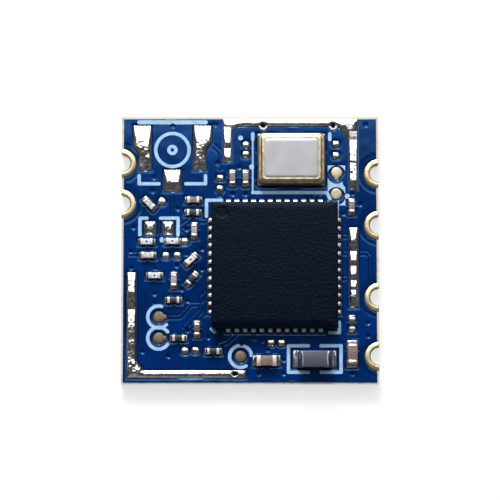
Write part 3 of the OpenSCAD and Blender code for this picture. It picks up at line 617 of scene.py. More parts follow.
def patchy_finish(name, metallic, roughness, tones, patch, grain=None, stops=(0.35, 0.65),
                  **inputs):
    """Finish with patches of two tones and, given (size, height), an uneven skin."""
    finish, tree, shader = start_finish(name, metallic, roughness, **inputs)
    place, _ = mottled(tree, shader, *tones, patch, *stops)
    if grain:
        bumped(tree, shader, place, *grain)
    return finish


def ink_finish():
    """Legend ink, screen printed and cured: a satin pale blue film with softly uneven cover."""
    light = board().ink_blue
    return patchy_finish("screen_printed_legend_ink", 0, 0.45,
                         (tuple(light), tuple(0.8 * c for c in light)), 0.3 * MM,
                         (0.08 * MM, 0.003 * MM), IOR=1.5)


def underside_finish():
    """Solder mask under the board: the same blue film over whole foil."""
    blue = board().mask_blue
    return patchy_finish("cured_solder_mask_underside", 0, 0.25,
                         (tuple(blue), tuple(0.6 * c for c in blue)), 1.5 * MM,
                         (0.12 * MM, 0.002 * MM), IOR=1.5)


def gold_finish(name="immersion_gold_plate", light="#dccfae", dark="#c2ae80", roughness=0.4):
    """Immersion gold over nickel on copper: pale gold with a satin, faintly grainy shine."""
    # Plated copper grain is 5 to 20 microns, drawn at 40 so that it shows
    return patchy_finish(name, 1, roughness, (linear(light), linear(dark)), 0.25 * MM,
                         (0.04 * MM, 0.003 * MM))


def copper_finish():
    """Etched and drilled copper, lightly tarnished: brown-orange with a soft shine."""
    return patchy_finish("etched_copper", 1, 0.45, (linear("#c98b63"), linear("#8a573b")),
                         0.2 * MM)


def solder_finish(name="reflowed_tin_solder", crust=0.0, rough=0.08):
    """Tin-silver-copper solder, melted and frozen: mirror-like with a fine frosty crust."""
    finish, tree, shader = start_finish(name, 1, rough)
    place, cloud = mottled(tree, shader, linear("#e6e4e3"), linear("#b9b6b5"), 0.15 * MM)
    frost = add_node(tree, "ShaderNodeMapRange",
                     {"From Min": 0.35, "From Max": 0.7, "To Min": rough, "To Max": rough + 0.16},
                     {"Value": cloud})
    tree.links.new(frost.outputs["Result"], shader.inputs["Roughness"])
    # Crystals of the frozen skin are about 0.02 mm, drawn at 0.08 so that they show
    if crust:
        bumped(tree, shader, place, 0.08 * MM, 0.01 * MM, strength=crust)
    return finish


def tin_finish(name, light, dark, roughness=0.4):
    """Barrel-plated tin: bright silver-white with a soft satin grain."""
    return patchy_finish(name, 1, roughness, (linear(light), linear(dark)), 0.1 * MM,
                         (0.06 * MM, 0.002 * MM))


def mould_finish():
    """Silica-filled epoxy, transfer moulded and blasted: near-black navy with a leathery grain."""
    base = board().mould_black
    # Blasted grain is about 0.03 mm, drawn at 0.1 so that it shows
    return patchy_finish("moulded_silica_epoxy", 0, 0.22,
                         (tuple(1.8 * c for c in base), tuple(base)), 0.1 * MM,
                         (0.1 * MM, 0.017 * MM), (0.42, 0.75), IOR=1.5, Specular_IOR_Level=0.2,
                         Specular_Tint=(*linear("#b4c4e8"), 1))


def ceramic_finish(name, light, dark, roughness=0.4):
    """Pressed and fired ceramic: smooth, faintly mottled and half matt."""
    size = 0.08 * MM
    return patchy_finish(name, 0, roughness, (linear(light), linear(dark)), size,
                         (size / 2, 0.003 * MM), IOR=1.6)


def lid_finish():
    """Rolled Kovar with nickel plate: even satin grey with very fine rolling lines."""
    finish, tree, shader = start_finish("nickel_plated_kovar", 1, 0.5)
    place, _ = mottled(tree, shader, linear("#a3a3a6"), linear("#9b9b9e"), 0.8 * MM)
    stretch = add_node(tree, "ShaderNodeMapping", {"Scale": (0.08, 1, 1)}, {"Vector": place})
    bumped(tree, shader, stretch.outputs["Vector"], 0.03 * MM, 0.001 * MM, 2.0, 0.5)
    return finish


def quartz_finish():
    """Lapped quartz blank: clear, with a frosted face."""
    return patchy_finish("lapped_quartz", 0, 0.3, (linear("#e4e8ea"), linear("#cdd4d8")),
                         0.3 * MM, IOR=1.54, Transmission_Weight=0.6)


# Etched foil lines that show through the mask, as (x, y) in millimetres
TRACES = (
    ((-2.0, -1.95), (-2.35, -2.3), (-2.35, -2.9), (-3.1, -3.65)),
    ((-2.0, -2.35), (-2.15, -2.5), (-2.15, -3.0), (-3.0, -3.85)),
    ((-3.95, -3.2), (-3.35, -3.2), (-2.8, -2.6), (-2.05, -2.6)),
    ((-0.2, -4.0), (-0.2, -4.5), (-0.45, -4.75)),
    ((-0.65, -4.0), (-1.1, -4.4), (-1.5, -4.55)),
    ((-3.72, 2.8), (-3.72, 1.45)),
    ((-2.0, 1.4), (-2.4, 1.4), (-2.9, 1.4), (-3.3, 1.1), (-3.6, 1.1)),
    ((-3.4, 0.85), (-3.0, 0.6), (-2.9, 0.4)),
    ((0.1, 2.45), (0.1, 3.1), (0.35, 3.45)),
    ((3.0, 2.45), (3.4, 2.8), (3.4, 3.15)),
    ((4.4, 0.65), (4.75, 0.65), (5.15, 1.05)),
    ((4.4, -0.15), (5.6, -0.15), (5.75, -0.35), (5.75, -1.4)),
    ((4.45, -1.35), (4.9, -1.35)),
    ((0.6, -4.0), (0.6, -4.3)),
    ((-5.7, -0.2), (-5.2, -0.2)),
    ((-1.43, 3.9), (-1.43, 4.7), (-2.2, 5.4)),
)


# Where the solder froze high and low: a field (x and y from, x and y to), the axis that the
# crests run along, (place, share of the height), how far the ridge leans towards the front or
# the left, and how flat its back is (1 is a dome, 0 a slab). All places are in millimetres.
SOLDER_RUNS = {
    "shield_solder_top": (
        (-1.28, 5.98, 5.15, 6.33, 0, ((-1.28, 0.7), (0.4, 1), (2.2, 0.8), (5.15, 1)), 0.7, 1),
        (-1.28, 4.23, -0.88, 5.98, 1, ((4.23, 0.3), (4.45, 1), (4.9, 0.5), (5.15, 0.9), (5.9, 0.3)),
         0, 0.4),
        (4.75, 2.9, 5.15, 5.75, 1, ((2.9, 0.2), (3.3, 1), (4.2, 0.6), (4.3, 0.7), (5.3, 0.15)),
         0, 0.25),
    ),
    "shield_solder_left": (
        (-5.85, -5.75, -5.45, -1.08, 1,
         ((-5.75, 0.8), (-5.4, 0.9), (-5.1, 0.75), (-4.5, 0.95), (-4.3, 0.85), (-3.7, 1),
          (-2.82, 0.15), (-2.7, 0.3), (-2.0, 1), (-1.08, 0.15)), 0, 0.25),
        (-5.85, -6.1, -0.22, -5.75, 0, ((-5.85, 1), (-3, 0.9), (-0.22, 1)), 0.05, 1),
    ),
    "shield_solder_right": (
        (4.75, -2.75, 5.15, 1.08, 1,
         ((-2.75, 0.5), (-2.6, 0.4), (-2.2, 1), (-1.9, 0.6), (-1.75, 0.85), (-1.45, 0.5),
          (-1.2, 0.95), (-0.75, 0.5), (-0.5, 0.9), (-0.05, 0.3), (0.25, 0.6), (0.45, 1),
          (1.08, 0.2)), 0, 0.45),
    ),
    "connector_solder": (
        (-5.6, 3.84, -4.7, 6, 1, ((3.85, 0.4), (4.4, 0.85), (4.9, 1), (5.98, 0.3)), 0, 0.6),
        (-4.2, 2.8, -3.2, 3.9, 1, ((2.82, 0.4), (3.25, 1), (3.84, 0.4)), 0, 0.6),
        (-2.8, 3.84, -1.8, 6, 1, ((3.85, 0.4), (4.4, 0.85), (4.9, 1), (5.98, 0.3)), 0, 0.6),
    ),
}


def from_lines(points, lines):
    """Distance of each point from the nearest of some bent lines, all in metres."""
    nearest = np.full(len(points), 1.0)
    for line in lines:
        for a, b in zip(line, line[1:]):
            a, b = np.array(a) * MM, np.array(b) * MM
            run = b - a
            t = np.clip((points - a) @ run / (run @ run), 0, 1)
            nearest = np.minimum(nearest, np.linalg.norm(points - a - t[:, None] * run, axis=1))
    return nearest


# Settings

class BoardSettings(bpy.types.PropertyGroup):
    """Sizes and colours that a user would change."""

    mask_blue: FloatVectorProperty(
        name="Mask over foil", description="Solder mask where foil lies under it",
        subtype="COLOR", size=3, min=0, max=1, default=linear("#00245f"))
    mask_gap: FloatVectorProperty(
        name="Mask over laminate", description="Solder mask where the foil is etched away",
        subtype="COLOR", size=3, min=0, max=1, default=linear("#000f30"))
    ink_blue: FloatVectorProperty(
        name="Legend ink", description="Colour of the printed lines",
        subtype="COLOR", size=3, min=0, max=1, default=linear("#92b7d8"))
    mould_black: FloatVectorProperty(
        name="Chip body", description="Moulded epoxy of the radio chip",
        subtype="COLOR", size=3, min=0, max=1, default=linear("#02060f"))
    mask_step: FloatProperty(
        name="Mask grid", description="Distance between points of the mask's relief",
        unit="LENGTH", default=0.055 * MM, min=0.03 * MM, max=0.5 * MM, precision=6)
    solder_step: FloatProperty(
        name="Solder grid", description="Distance between points of the solder's skin",
        unit="LENGTH", default=0.035 * MM, min=0.02 * MM, max=0.2 * MM, precision=6)
    solder_lumps: FloatProperty(
        name="Solder lumps",
        description="How far the frozen solder is uneven, as a share of its height",
        default=0.16, min=0, max=1)
    solder_crust: FloatProperty(
        name="Solder crust", description="Strength of the solder's frosty crust",
        default=0.1, min=0, max=1)
    via_depth: FloatProperty(
        name="Via dimple", description="Depth of the mask's dimple over a tented via",
        unit="LENGTH", default=0.034 * MM, min=0, max=0.05 * MM, precision=6)
    arc_steps: IntProperty(
        name="Arc steps", description="Steps in the half circle of an edge terminal",
        default=48, min=12, max=180)
    key_power: FloatProperty(
        name="Softbox power", description="Power of the softbox behind the board",
        unit="POWER", default=1.35, min=0, max=10)
    bulb_power: FloatProperty(
        name="Bulb power", description="Power of the small bright bulb within the softbox",
        unit="POWER", default=0.8, min=0, max=5)
    fill_power: FloatProperty(
        name="Fill power", description="Power of the weak lamp in front of the board",
        unit="POWER", default=0.03, min=0, max=5)
    sky_strength: FloatProperty(
        name="Sky strength", description="Brightness of the room round the board",
        default=0.09, min=0, max=2)


# Pieces

class RADIO_OT_laminate(bpy.types.Operator):
    """Finishes the sawn laminate, the copper in its vias and the mask under the board"""

    bl_idname = "radio.laminate"
    bl_label = "Laminate"

    def execute(self, context):
        finish_node("laminate", laminate_finish())
        finish_node("via_barrels", copper_finish())
        finish_node("copper_lands", solder_finish("tinned_copper_lands"))
        finish_node("solder_mask_bottom", underside_finish())
        return {"FINISHED"}


class RADIO_OT_solder_mask(bpy.types.Operator):
    """Builds the top mask, which sinks over vias and gaps in the foil"""

    bl_idname = "radio.solder_mask"
    bl_label = "Solder mask"

    def execute(self, context):
        low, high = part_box("solder_mask_top")
        s = board()
        outlines, dimples, openings = [], [], []
        for row in cad_outlines("solder_mask_top", high.z):
            size = np.ptp(np.array(row), axis=0)
            # Small round openings are where the mask dips over a via
            if size.max() < 0.27 * MM and abs(size[0] - size[1]) < 0.01 * MM:
                dimples.append(np.array(row).mean(0))
                continue
            outlines.append(row)
            if size.max() < 10 * MM:
                openings.append(row)
        rings = [(x + r * MM * math.cos(a), y + r * MM * math.sin(a)) for x, y in dimples
                 for r in (0.02, 0.05, 0.075, 0.095, 0.115, 0.135, 0.155, 0.18)
                 for a in np.linspace(0, 2 * math.pi, 20, endpoint=False)]
        region = Region(outlines, s.mask_step, (rings, 0.2 * MM, dimples))
        points = region.points
        # Foil stops short of each opening, and further round the terminals' lands
        openings_tree = Region.tree([p for row in openings for p in evened(row, 0.02 * MM)])
        gap = np.array([openings_tree.find((x, y, 0))[2] for x, y in points])
        foil = smoothstep(0.03 * MM, 0.08 * MM, gap)
        for node in sorted(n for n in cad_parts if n.startswith("terminal_")):
            box_low, box_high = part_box(node)
            out = box_low.x if box_low.x < 0 else box_high.x
            reach = np.hypot(points[:, 0] - out, points[:, 1] - (box_low.y + box_high.y) / 2)
            land = (box_high.y - box_low.y) / 2
            foil = np.minimum(foil, 0.5 + 0.5 * smoothstep(land + 0.28 * MM,
                                                           land + 0.33 * MM, reach))
        # A line of foil 0.1 mm wide, with a clear gap on both sides
        line = from_lines(points, TRACES)
        beside = smoothstep(0.04 * MM, 0.07 * MM, line) - smoothstep(0.11 * MM, 0.14 * MM, line)
        foil = np.where(gap > 0.05 * MM, foil * (1 - 0.75 * beside), foil)
        sink = (foil - 1) * 0.014 * MM
        sink -= 0.006 * MM * (1 - smoothstep(0, 0.05 * MM, gap))
        tree = Region.tree(dimples)
        reach = np.array([tree.find((x, y, 0))[2] for x, y in points])
        sink -= s.via_depth * (1 - smoothstep(0.075 * MM, 0.15 * MM, reach))
        foil *= 0.1 + 0.9 * smoothstep(0.08 * MM, 0.12 * MM, reach)
        sink += 0.003 * MM * lumps(points, 0.6 * MM, 1)
        heights = np.clip(high.z + sink - 0.003 * MM, low.z + 0.008 * MM, high.z)
        piece = new_piece("top_solder_mask", region.slab(heights, low.z), solder_mask_finish(),
                          ["solder_mask_top"])
        layer = piece.data.attributes.new("foil", "FLOAT", "POINT")
        tones = np.zeros(len(piece.data.vertices))
        tones[:len(foil)] = foil
        layer.data.foreach_set("value", tones)
        return {"FINISHED"}


class RADIO_OT_legend(bpy.types.Operator):
    """Finishes the printed lines"""

    bl_idname = "radio.legend"
    bl_label = "Legend"

    def execute(self, context):
        finish_node("silkscreen", ink_finish())
        return {"FINISHED"}


class RADIO_OT_terminals(bpy.types.Operator):
    """Builds the plated half-holes, with lands on both faces and a rolled rim"""

    bl_idname = "radio.terminals"
    bl_label = "Edge terminals"

    def execute(self, context):
        finish = gold_finish()
        # Inside the hole the rim and wall get a much darker, less rough gold: painted shade in the
        # hole, besides the duller plating that lies on drilled laminate
        drilled = gold_finish("gold_plate_painted_shade_in_hole", "#8f7c4c", "#5c4d28", 0.3)
        for node in sorted(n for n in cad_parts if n.startswith("terminal_")):
            low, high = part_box(node)
            corners, _ = cad_shell(node)
            left = low.x < 0
            centre = (low.x if left else high.x, (low.y + high.y) / 2)
            outer = (high.y - low.y) / 2
            reach = min(math.dist(c[:2], centre) for c in corners)
            rim, plate = 0.08 * MM, 0.035 * MM
            soft = 0.012 * MM
            profile = [(outer, high.z - plate), (outer, high.z - soft), (outer - soft, high.z)]
            profile += [(reach + rim - rim * math.sin(a), high.z - rim + rim * math.cos(a))
                        for a in np.linspace(0, math.pi / 2, 9)]
            profile += [(reach + rim - rim * math.cos(a), low.z + rim - rim * math.sin(a))
                        for a in np.linspace(0, math.pi / 2, 9)]
            profile += [(outer - soft, low.z), (outer, low.z + soft), (outer, low.z + plate),
                        (reach + 0.05 * MM, low.z + plate), (reach + 0.05 * MM, high.z - plate),
                        (outer, high.z - plate)]
            start = -math.pi / 2 if left else math.pi / 2
            shape = lathed(profile, centre, start, math.pi, board().arc_steps)
            rows = len(profile)
            last = len(shape[0]) - rows
            shape[1].append([i for i in range(rows - 1)])
            shape[1].append([last + i for i in range(rows - 1)][::-1])
            piece = new_piece("edge_" + node, shape, finish, [node])
            piece.data.materials.append(drilled)
            # Faces of the inner rim and the wall take the darker gold of painted shade
            for polygon in piece.data.polygons:
                middle = polygon.center
                away = math.dist(middle[:2], centre)
                if away < reach + 0.6 * rim and low.z + 0.02 * MM < middle.z < high.z:
                    polygon.material_index = 1
        return {"FINISHED"}


class RADIO_OT_test_points(bpy.types.Operator):
    """Builds the gold test points, each a low disc, some with a short tail"""

    bl_idname = "radio.test_points"
    bl_label = "Test points"

    def execute(self, context):
        shapes = {}
        for solid in cad_solids("test_point_lands"):
            low, high = solid.min(0), solid.max(0)
            size = high - low
            radius = min(size[:2]) / 2
            long_axis = int(size[1] > size[0])
            wide = solid[np.abs(solid[:, 1 - long_axis] - (low + high)[1 - long_axis] / 2)
                         > 0.9 * radius]
            centre = (low + high)[:2] / 2
            centre[long_axis] = (wide[:, long_axis].min() + wide[:, long_axis].max()) / 2
            edge = 0.02 * MM
            profile = [(radius, low[2]), (radius, high[2] - edge)]
            profile += [(radius - edge + edge * math.cos(a), high[2] - edge + edge * math.sin(a))
                        for a in np.linspace(0.4, math.pi / 2, 4)]
            profile += [(radius * 0.5, high[2] + 0.004 * MM), (0.0005 * MM, high[2] + 0.005 * MM)]
            # Points left of x = 2 mm take the darker gold of painted shade
            kind = "beige" if centre[0] > 2 * MM else "shaded_olive"
            shapes.setdefault(kind, []).append(lathed(profile, centre, 0, 2 * math.pi, 48))
            if max(size[:2]) - 2 * radius > 0.05 * MM:
                tail_low, tail_high = low.copy(), high.copy()
                side = 1 - long_axis
                tail_low[side], tail_high[side] = centre[side] - 0.1 * MM, centre[side] + 0.1 * MM
                if high[long_axis] - centre[long_axis] > radius + 0.05 * MM:
                    tail_low[long_axis] = centre[long_axis]
                else:
                    tail_high[long_axis] = centre[long_axis]
                half = Vector((tail_high - tail_low) / 2)
                block = rounded_block(half, 0.012 * MM)
                shapes[kind].append(placed(block, Vector((tail_low + tail_high) / 2), 0))
        # The points left of 2 mm across the board get a darker olive gold than the other two:
        # painted shade, for the weaker reflection of the softbox on them
        new_piece("test_point_discs", merged(shapes["beige"]),
                  gold_finish("immersion_gold_test_points", "#bdb49f", "#a39982", 0.45),
                  ["test_point_lands"])
        new_piece("shaded_test_point_discs", merged(shapes["shaded_olive"]),
                  gold_finish("gold_test_points_painted_shade", "#86796a", "#665c4e", 0.45),
                  ["test_point_lands"])
        return {"FINISHED"}


class RADIO_OT_shield_solder(bpy.types.Operator):
    """Builds the solder that lies on the shield's track, the connector's lands and bare lands"""

    bl_idname = "radio.shield_solder"
    bl_label = "Solder on lands"

    def execute(self, context):
        s = board()
        finish = solder_finish(crust=s.solder_crust)
        for seed, node in enumerate(("shield_solder_top", "shield_solder_left",
                                     "shield_solder_right", "connector_solder",
                                     "bare_pad_solder")):
            low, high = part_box(node)
            outlines = [evened(row, s.solder_step) for row in cad_outlines(node, low.z)]
            region = Region(outlines, s.solder_step)
            height = (high.z - low.z) * region.liquid()
            for low_x, low_y, high_x, high_y, axis, crests, lean, flatness in \
                    SOLDER_RUNS.get(node, ()):
                x, y = region.points.T / MM
                here = (x >= low_x) & (x <= high_x) & (y >= low_y) & (y <= high_y)
                places, shares = zip(*crests)
                share = np.interp((x, y)[axis], places, shares)
                middle, half = ((low_y + high_y) / 2, (high_y - low_y) / 2) if axis == 0 \
                    else ((low_x + high_x) / 2, (high_x - low_x) / 2)
                share *= 1 - lean * ((y, x)[axis] - middle) / half
                top = high.z - low.z
                height = np.where(here, top * (height / top) ** flatness * share, height)
            wave = lumps(region.points, 0.25 * MM, seed + 2)
            fine = lumps(region.points, 0.11 * MM, seed + 20)
            height *= 1 + s.solder_lumps * (wave + 0.7 * fine)
            # Even its thinnest skin is 12 microns thick
            skin = 0.012 * MM
            heights = low.z + skin + np.clip(height, 0, high.z - low.z - skin)
            new_piece(node.replace("shield_solder", "shield_bead") + "_skin",
                      region.slab(heights, low.z), finish, [node])
        return {"FINISHED"}


class RADIO_OT_chip(bpy.types.Operator):
    """Builds the radio chip's body with its dimple, and the solder at its leads"""

    bl_idname = "radio.chip"
    bl_label = "Radio chip"

    def execute(self, context):
        low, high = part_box("chip_body")
        centre = (low + high) / 2
        piece = new_piece("radio_chip_body", dished_block(low, high), mould_finish(),
                          ["chip_body"])
        piece.data.set_sharp_from_angle(angle=math.radians(35))
        lead = tin_finish("tin_plated_lead", "#dedee0", "#b4b4b8")
        finish_node("chip_leads", lead)
        finish_node("chip_ground_pad", lead)
        finish_node("chip_solder", solder_finish("reflowed_tin_solder_under_leads"))
        shapes = []
        for solid in cad_solids("chip_solder"):
            s_low, s_high = solid.min(0), solid.max(0)
            if max(s_high[:2] - s_low[:2]) > 2 * MM:
                continue
            middle = (s_low + s_high) / 2
            axis = int(abs(middle[1] - centre.y) > abs(middle[0] - centre.x))
            sign = 1 if middle[axis] > centre[axis] else -1
            shapes.append(lead_joint(solid, axis, sign, (high if sign > 0 else low)[axis]))
        # The joints get a pure white copy of the solder, whiter than the solder under the leads: a
        # painted highlight for the bright dots at the leads
        new_piece("lead_joints", merged(shapes),
                  tin_finish("tin_solder_joints_painted_highlight", "#ffffff", "#f4f4f6", 0.6))
        return {"FINISHED"}


class RADIO_OT_crystal(bpy.types.Operator):
    """Builds the crystal's seal ring and welded lid over its ceramic base"""

    bl_idname = "radio.crystal"
    bl_label = "Crystal"

    def execute(self, context):
        finish_node("crystal_base",
                    ceramic_finish("fired_black_alumina", "#4a3a28", "#2b2118", 0.5))
        finish_node("crystal_pads", gold_finish())
        finish_node("quartz_blank", quartz_finish())
        ring = gold_finish("gold_plated_kovar_frame", "#d6c5a6", "#a8916a", 0.35)
        low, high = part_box("crystal_seal_ring")
        centre = (low + high) / 2
        half = Vector((high - low) / 2)

        def rounded(inset, radius, z):
            return [(centre.x + x, centre.y + y, z) for x, y in
                    rectangle_ring((half.x - inset, half.y - inset), radius)]

        wall, soft = 0.35 * MM, 0.03 * MM
        rings = [rounded(0, 0.28 * MM, low.z), rounded(0, 0.28 * MM, high.z - soft),
                 rounded(0.3 * soft, 0.27 * MM, high.z - 0.3 * soft),
                 rounded(soft, 0.25 * MM, high.z), rounded(wall, 0.1 * MM, high.z),
                 rounded(wall, 0.1 * MM, low.z)]
        corners, faces = lofted(rings, closed_ends=False)
        count = len(rings[0])
        last = (len(rings) - 1) * count
        faces += [[(i + 1) % count, i, last + i, last + (i + 1) % count] for i in range(count)]
        piece = new_piece("seal_ring", (corners, faces), ring, ["crystal_seal_ring"])
        piece.data.set_sharp_from_angle(angle=math.radians(50))
        low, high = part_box("crystal_lid")
        half = Vector((high - low) / 2)
        # The seam weld leaves a round gold shoulder about 0.17 mm wide round the grey panel
        slope = 0.17 * MM
        rise = high.z - low.z
        rings = [rounded(0, 0.2 * MM, low.z)]
        for lift in np.linspace(0.2, math.pi / 2, 7):
            rings.append(rounded(slope * (1 - math.cos(lift)), 0.2 * MM - 0.4 * slope *
                                 (1 - math.cos(lift)), low.z + rise * math.sin(lift)))
        shoulder = len(rings)
        rings.append(rounded(slope + 0.015 * MM, 0.12 * MM, high.z - 0.008 * MM))
        rings.append(rounded(slope + 0.03 * MM, 0.11 * MM, high.z))
        rings.append(rounded(2 * slope, 0.1 * MM, high.z))
        piece = new_piece("welded_lid", lofted(rings), lid_finish(),
                          ["crystal_lid"])
        piece.data.materials.append(ring)
        count = len(rings[0])
        for polygon in piece.data.polygons[:shoulder * count]:
            polygon.material_index = 1
        return {"FINISHED"}


class RADIO_OT_chip_parts(bpy.types.Operator):
    """Builds the ceramic blocks, the end caps and the joints of all the small chip parts"""

    bl_idname = "radio.chip_parts"
    bl_label = "Chip parts"

    def execute(self, context):
        cream = ceramic_finish("glazed_white_ferrite", "#d6d6da", "#b7b8c0", 0.35)
        finishes = {
            "capacitor": ceramic_finish("fired_barium_titanate", "#86746a", "#5c4c44"),
            "large_capacitor": ceramic_finish("fired_titanate_block", "#7a625a", "#594945"),
            "resistor": ceramic_finish("printed_resistor_glass", "#26262e", "#16161c", 0.25),
            "inductor": cream,
            "power_inductor": ceramic_finish("pressed_ferrite", "#3d4055", "#2b2f42", 0.45),
        }
        # Some capacitors come from other makers: pale, grey or dark brown
        others = {
            "capacitor_1": ceramic_finish("fired_pale_titanate", "#c4c0bd", "#9a9592"),
            "capacitor_3": ceramic_finish("fired_grey_titanate", "#a09c9a", "#7a7674"),
            "capacitor_7": ceramic_finish("fired_dark_titanate", "#5c3d30", "#3c2a22"),
        }
        others["capacitor_8"] = others["capacitor_3"]
        others["capacitor_9"] = others["capacitor_1"]
        for node in sorted(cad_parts):
            kind = node.rstrip("0123456789").rstrip("_")
            if node == "power_inductor_body":
                kind = "power_inductor"
            if kind not in finishes:
                continue
            corners, _ = cad_shell(node)
            centre, half, turn = straight_box(np.array(corners))
            piece_shape = placed(rounded_block(half, min(half) * 0.12), centre, turn)
            new_piece("block_of_" + node, piece_shape, others.get(node, finishes[kind]),
                      [node])
        marks = []
        for node in sorted(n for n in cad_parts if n.startswith("inductor_")):
            if node == "inductor_ends":
                continue
            centre, half, turn = straight_box(np.array(cad_shell(node)[0]))
            # A square mark, a third of the block's width, shows which way the coil is wound
            mark = rounded_block(Vector((0.045, 0.045, 0.004)) * MM, 0.003 * MM, 1)
            marks.append(placed(mark, centre + Vector((0, 0, half.z + 0.002 * MM)), turn))
        new_piece("inductor_marks", merged(marks),
                  ceramic_finish("fired_black_mark", "#1a1a1f", "#101014"))
        for node, light, dark in (
                ("capacitor_ends", "#e4e1df", "#bdb9b8"), ("resistor_ends", "#e6e4e2", "#bfbcbb"),
                ("inductor_ends", "#e8e6e6", "#c4c1c4"),
                ("large_capacitor_ends", "#ecdfdc", "#c9b8b8"),
                ("power_inductor_ends", "#4a4a5c", "#33344a")):
            finish = tin_finish("tin_plated_" + node, light, dark)
            shapes = []
            for solid in cad_solids(node):
                centre, half, turn = straight_box(solid)
                block = rounded_block(half, min(half[0], half[2]) * 0.42, 5)
                if node == "power_inductor_ends":
                    # The plating bows over the top of the ferrite towards its middle
                    block = bowed_prism(half, 0.1 * MM, 0.1 * MM)
                    block_low, block_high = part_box("power_inductor_body")
                    turn = math.pi if centre.x > (block_low.x + block_high.x) / 2 else 0
                shapes.append(placed(block, centre, turn))
            piece = new_piece("rounded_" + node, merged(shapes), finish, [node])
            if node == "power_inductor_ends":
                # Faces that look up and towards the middle get a cream colour: a painted highlight
                # on the edge of the plating, against the dark purple-grey that the rest of the ends
                # are given
                piece.data.materials.append(
                    tin_finish("fired_silver_edge", "#f0e6da", "#d2c6ba", 0.4))
                middle = (block_low.x + block_high.x) / 2
                for polygon in piece.data.polygons:
                    inward = -1 if polygon.center.x > middle else 1
                    if 0.1 < polygon.normal.x * inward and polygon.normal.z > 0.1:
                        polygon.material_index = 1
        shapes, flats = [], []
        for solid in cad_solids("part_solder"):
            centre, half, turn = straight_box(solid)
            if half.z < 0.02 * MM:
                flats.append(placed(rounded_block(half, 0.005 * MM, 1), centre, turn))
                continue
            shapes.append(part_joint(solid, centre, half, turn))
            size = Vector((half.x, half.y, 0.02 * MM))
            flats.append(placed(rounded_block(size, 0.01 * MM, 1),
                                centre + Vector((0, 0, 0.02 * MM - half.z)), turn))
        new_piece("part_joints", merged(shapes + flats),
                  solder_finish("reflowed_tin_solder_fillets", rough=0.22),
                  ["part_solder"])
        return {"FINISHED"}


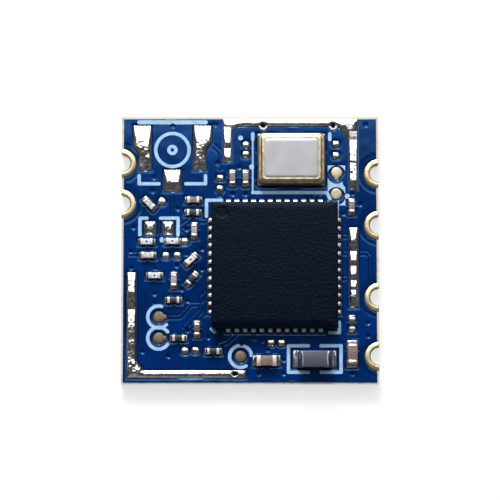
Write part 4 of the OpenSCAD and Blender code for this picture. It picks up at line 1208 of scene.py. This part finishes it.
class RADIO_OT_stage(bpy.types.Operator):
    """Sets the floor, the softbox, the fill lamp, the room and the camera"""

    bl_idname = "radio.stage"
    bl_label = "Stage"

    def execute(self, context):
        s = board()
        scene = context.scene
        scene.view_settings.view_transform = "Standard"
        mesh = bpy.data.meshes.new("floor")
        reach = 0.4
        corners = [(x * reach, y * reach, 0) for x, y in ((-1, -1), (1, -1), (1, 1), (-1, 1))]
        mesh.from_pydata(corners, [], [(0, 1, 2, 3)])
        floor = bpy.data.objects.new("floor", mesh)
        scene.collection.objects.link(floor)
        finish, tree, shader = start_finish("matt_white_card", 0, 0.9)
        # The card is whiter to the camera and in mirror-like metal than as a source of bounce
        rays = add_node(tree, "ShaderNodeLightPath")
        seen = rays.outputs["Is Camera Ray"]
        for kind in ("Is Glossy Ray", "Is Transmission Ray"):
            seen = add_node(tree, "ShaderNodeMath", {"operation": "MAXIMUM"},
                            {0: seen, 1: rays.outputs[kind]}).outputs[0]
        # Two thirds of what is seen is plain white, and the rest keeps the board's shadow
        seen = add_node(tree, "ShaderNodeMath", {"operation": "MULTIPLY", 1: 0.68}, {0: seen})
        shader.inputs["Base Color"].default_value = (0.9, 0.9, 0.9, 1)
        white = add_node(tree, "ShaderNodeEmission", {"Strength": 1.0})
        both = add_node(tree, "ShaderNodeMixShader", None,
                        {0: seen.outputs[0], 1: shader.outputs["BSDF"],
                         2: white.outputs["Emission"]})
        tree.links.new(both.outputs["Shader"],
                       tree.nodes["Material Output"].inputs["Surface"])
        mesh.materials.append(finish)

        def lamp(name, power, size, direction, distance):
            """Square lamp that faces the board."""
            light = bpy.data.lights.new(name, "AREA")
            light.energy, light.size, light.shape = power, size, "SQUARE"
            holder = bpy.data.objects.new(name, light)
            aim = Vector(direction).normalized()
            holder.location = aim * distance
            holder.rotation_euler = aim.to_track_quat("Z", "Y").to_euler()
            scene.collection.objects.link(holder)

        # The softbox spans 9.5 to 76.5 degrees behind the zenith, so flat gloss does not mirror it
        tilt = math.radians(43)
        lamp("softbox", s.key_power, 0.4, (0, math.sin(tilt), math.cos(tilt)), 0.3)
        tilt = math.radians(50)
        lamp("bulb", s.bulb_power, 0.08, (-0.12, math.sin(tilt), math.cos(tilt)), 0.29)
        lamp("fill", s.fill_power, 0.2, (-0.3, -1, 0.9), 0.3)
        world = bpy.data.worlds.new("room")
        scene.world = world
        world.use_nodes = True
        room = world.node_tree
        back = room.nodes["Background"]
        paths = add_node(room, "ShaderNodeLightPath")
        level = add_node(room, "ShaderNodeMapRange",
                         {"To Min": s.sky_strength, "To Max": 1.0},
                         {"Value": paths.outputs["Is Camera Ray"]})
        room.links.new(level.outputs["Result"], back.inputs["Strength"])
        back.inputs["Color"].default_value = (1, 1, 1, 1)
        focal, sensor, frame_w = 135, 36, 23.889 * MM
        lens = bpy.data.cameras.new("camera")
        lens.lens, lens.sensor_width, lens.clip_start, lens.clip_end = focal, sensor, 0.002, 2
        camera = bpy.data.objects.new("camera", lens)
        scene.collection.objects.link(camera)
        rise = math.radians(85.5)
        board_top = 0.8 * MM
        target = Vector((0, 0, board_top))
        aim = Vector((0, -math.cos(rise), math.sin(rise)))
        # So far off that the frame is as wide as wanted at the top of the board
        camera.location = target + aim * (focal / sensor * frame_w)
        camera.rotation_euler = aim.to_track_quat("Z", "Y").to_euler()
        scene.camera = camera
        return {"FINISHED"}


OPERATORS = (RADIO_OT_stage, RADIO_OT_laminate, RADIO_OT_solder_mask, RADIO_OT_legend,
             RADIO_OT_terminals, RADIO_OT_test_points, RADIO_OT_shield_solder, RADIO_OT_chip,
             RADIO_OT_crystal, RADIO_OT_chip_parts)


class RADIO_PT_board(bpy.types.Panel):
    """Lists the board's pieces"""

    bl_idname = "RADIO_PT_board"
    bl_label = "Castellated radio board"
    bl_space_type = "VIEW_3D"
    bl_region_type = "UI"
    bl_category = "Board"

    def draw(self, context):
        for name in BoardSettings.__annotations__:
            self.layout.prop(context.scene.radio_board, name)
        for operator in OPERATORS:
            self.layout.operator(operator.bl_idname)


CLASSES = (BoardSettings, *OPERATORS, RADIO_PT_board)


def register():
    """Registers the classes and the settings."""
    for cls in CLASSES:
        bpy.utils.register_class(cls)
    bpy.types.Scene.radio_board = PointerProperty(type=BoardSettings)


def unregister():
    """Removes the settings and the classes."""
    del bpy.types.Scene.radio_board
    for cls in reversed(CLASSES):
        bpy.utils.unregister_class(cls)


def main():
    """Dresses the board."""
    register()
    for operator in OPERATORS:
        group, name = operator.bl_idname.split(".")
        getattr(getattr(bpy.ops, group), name)()


if __name__ == "__main__":
    main()
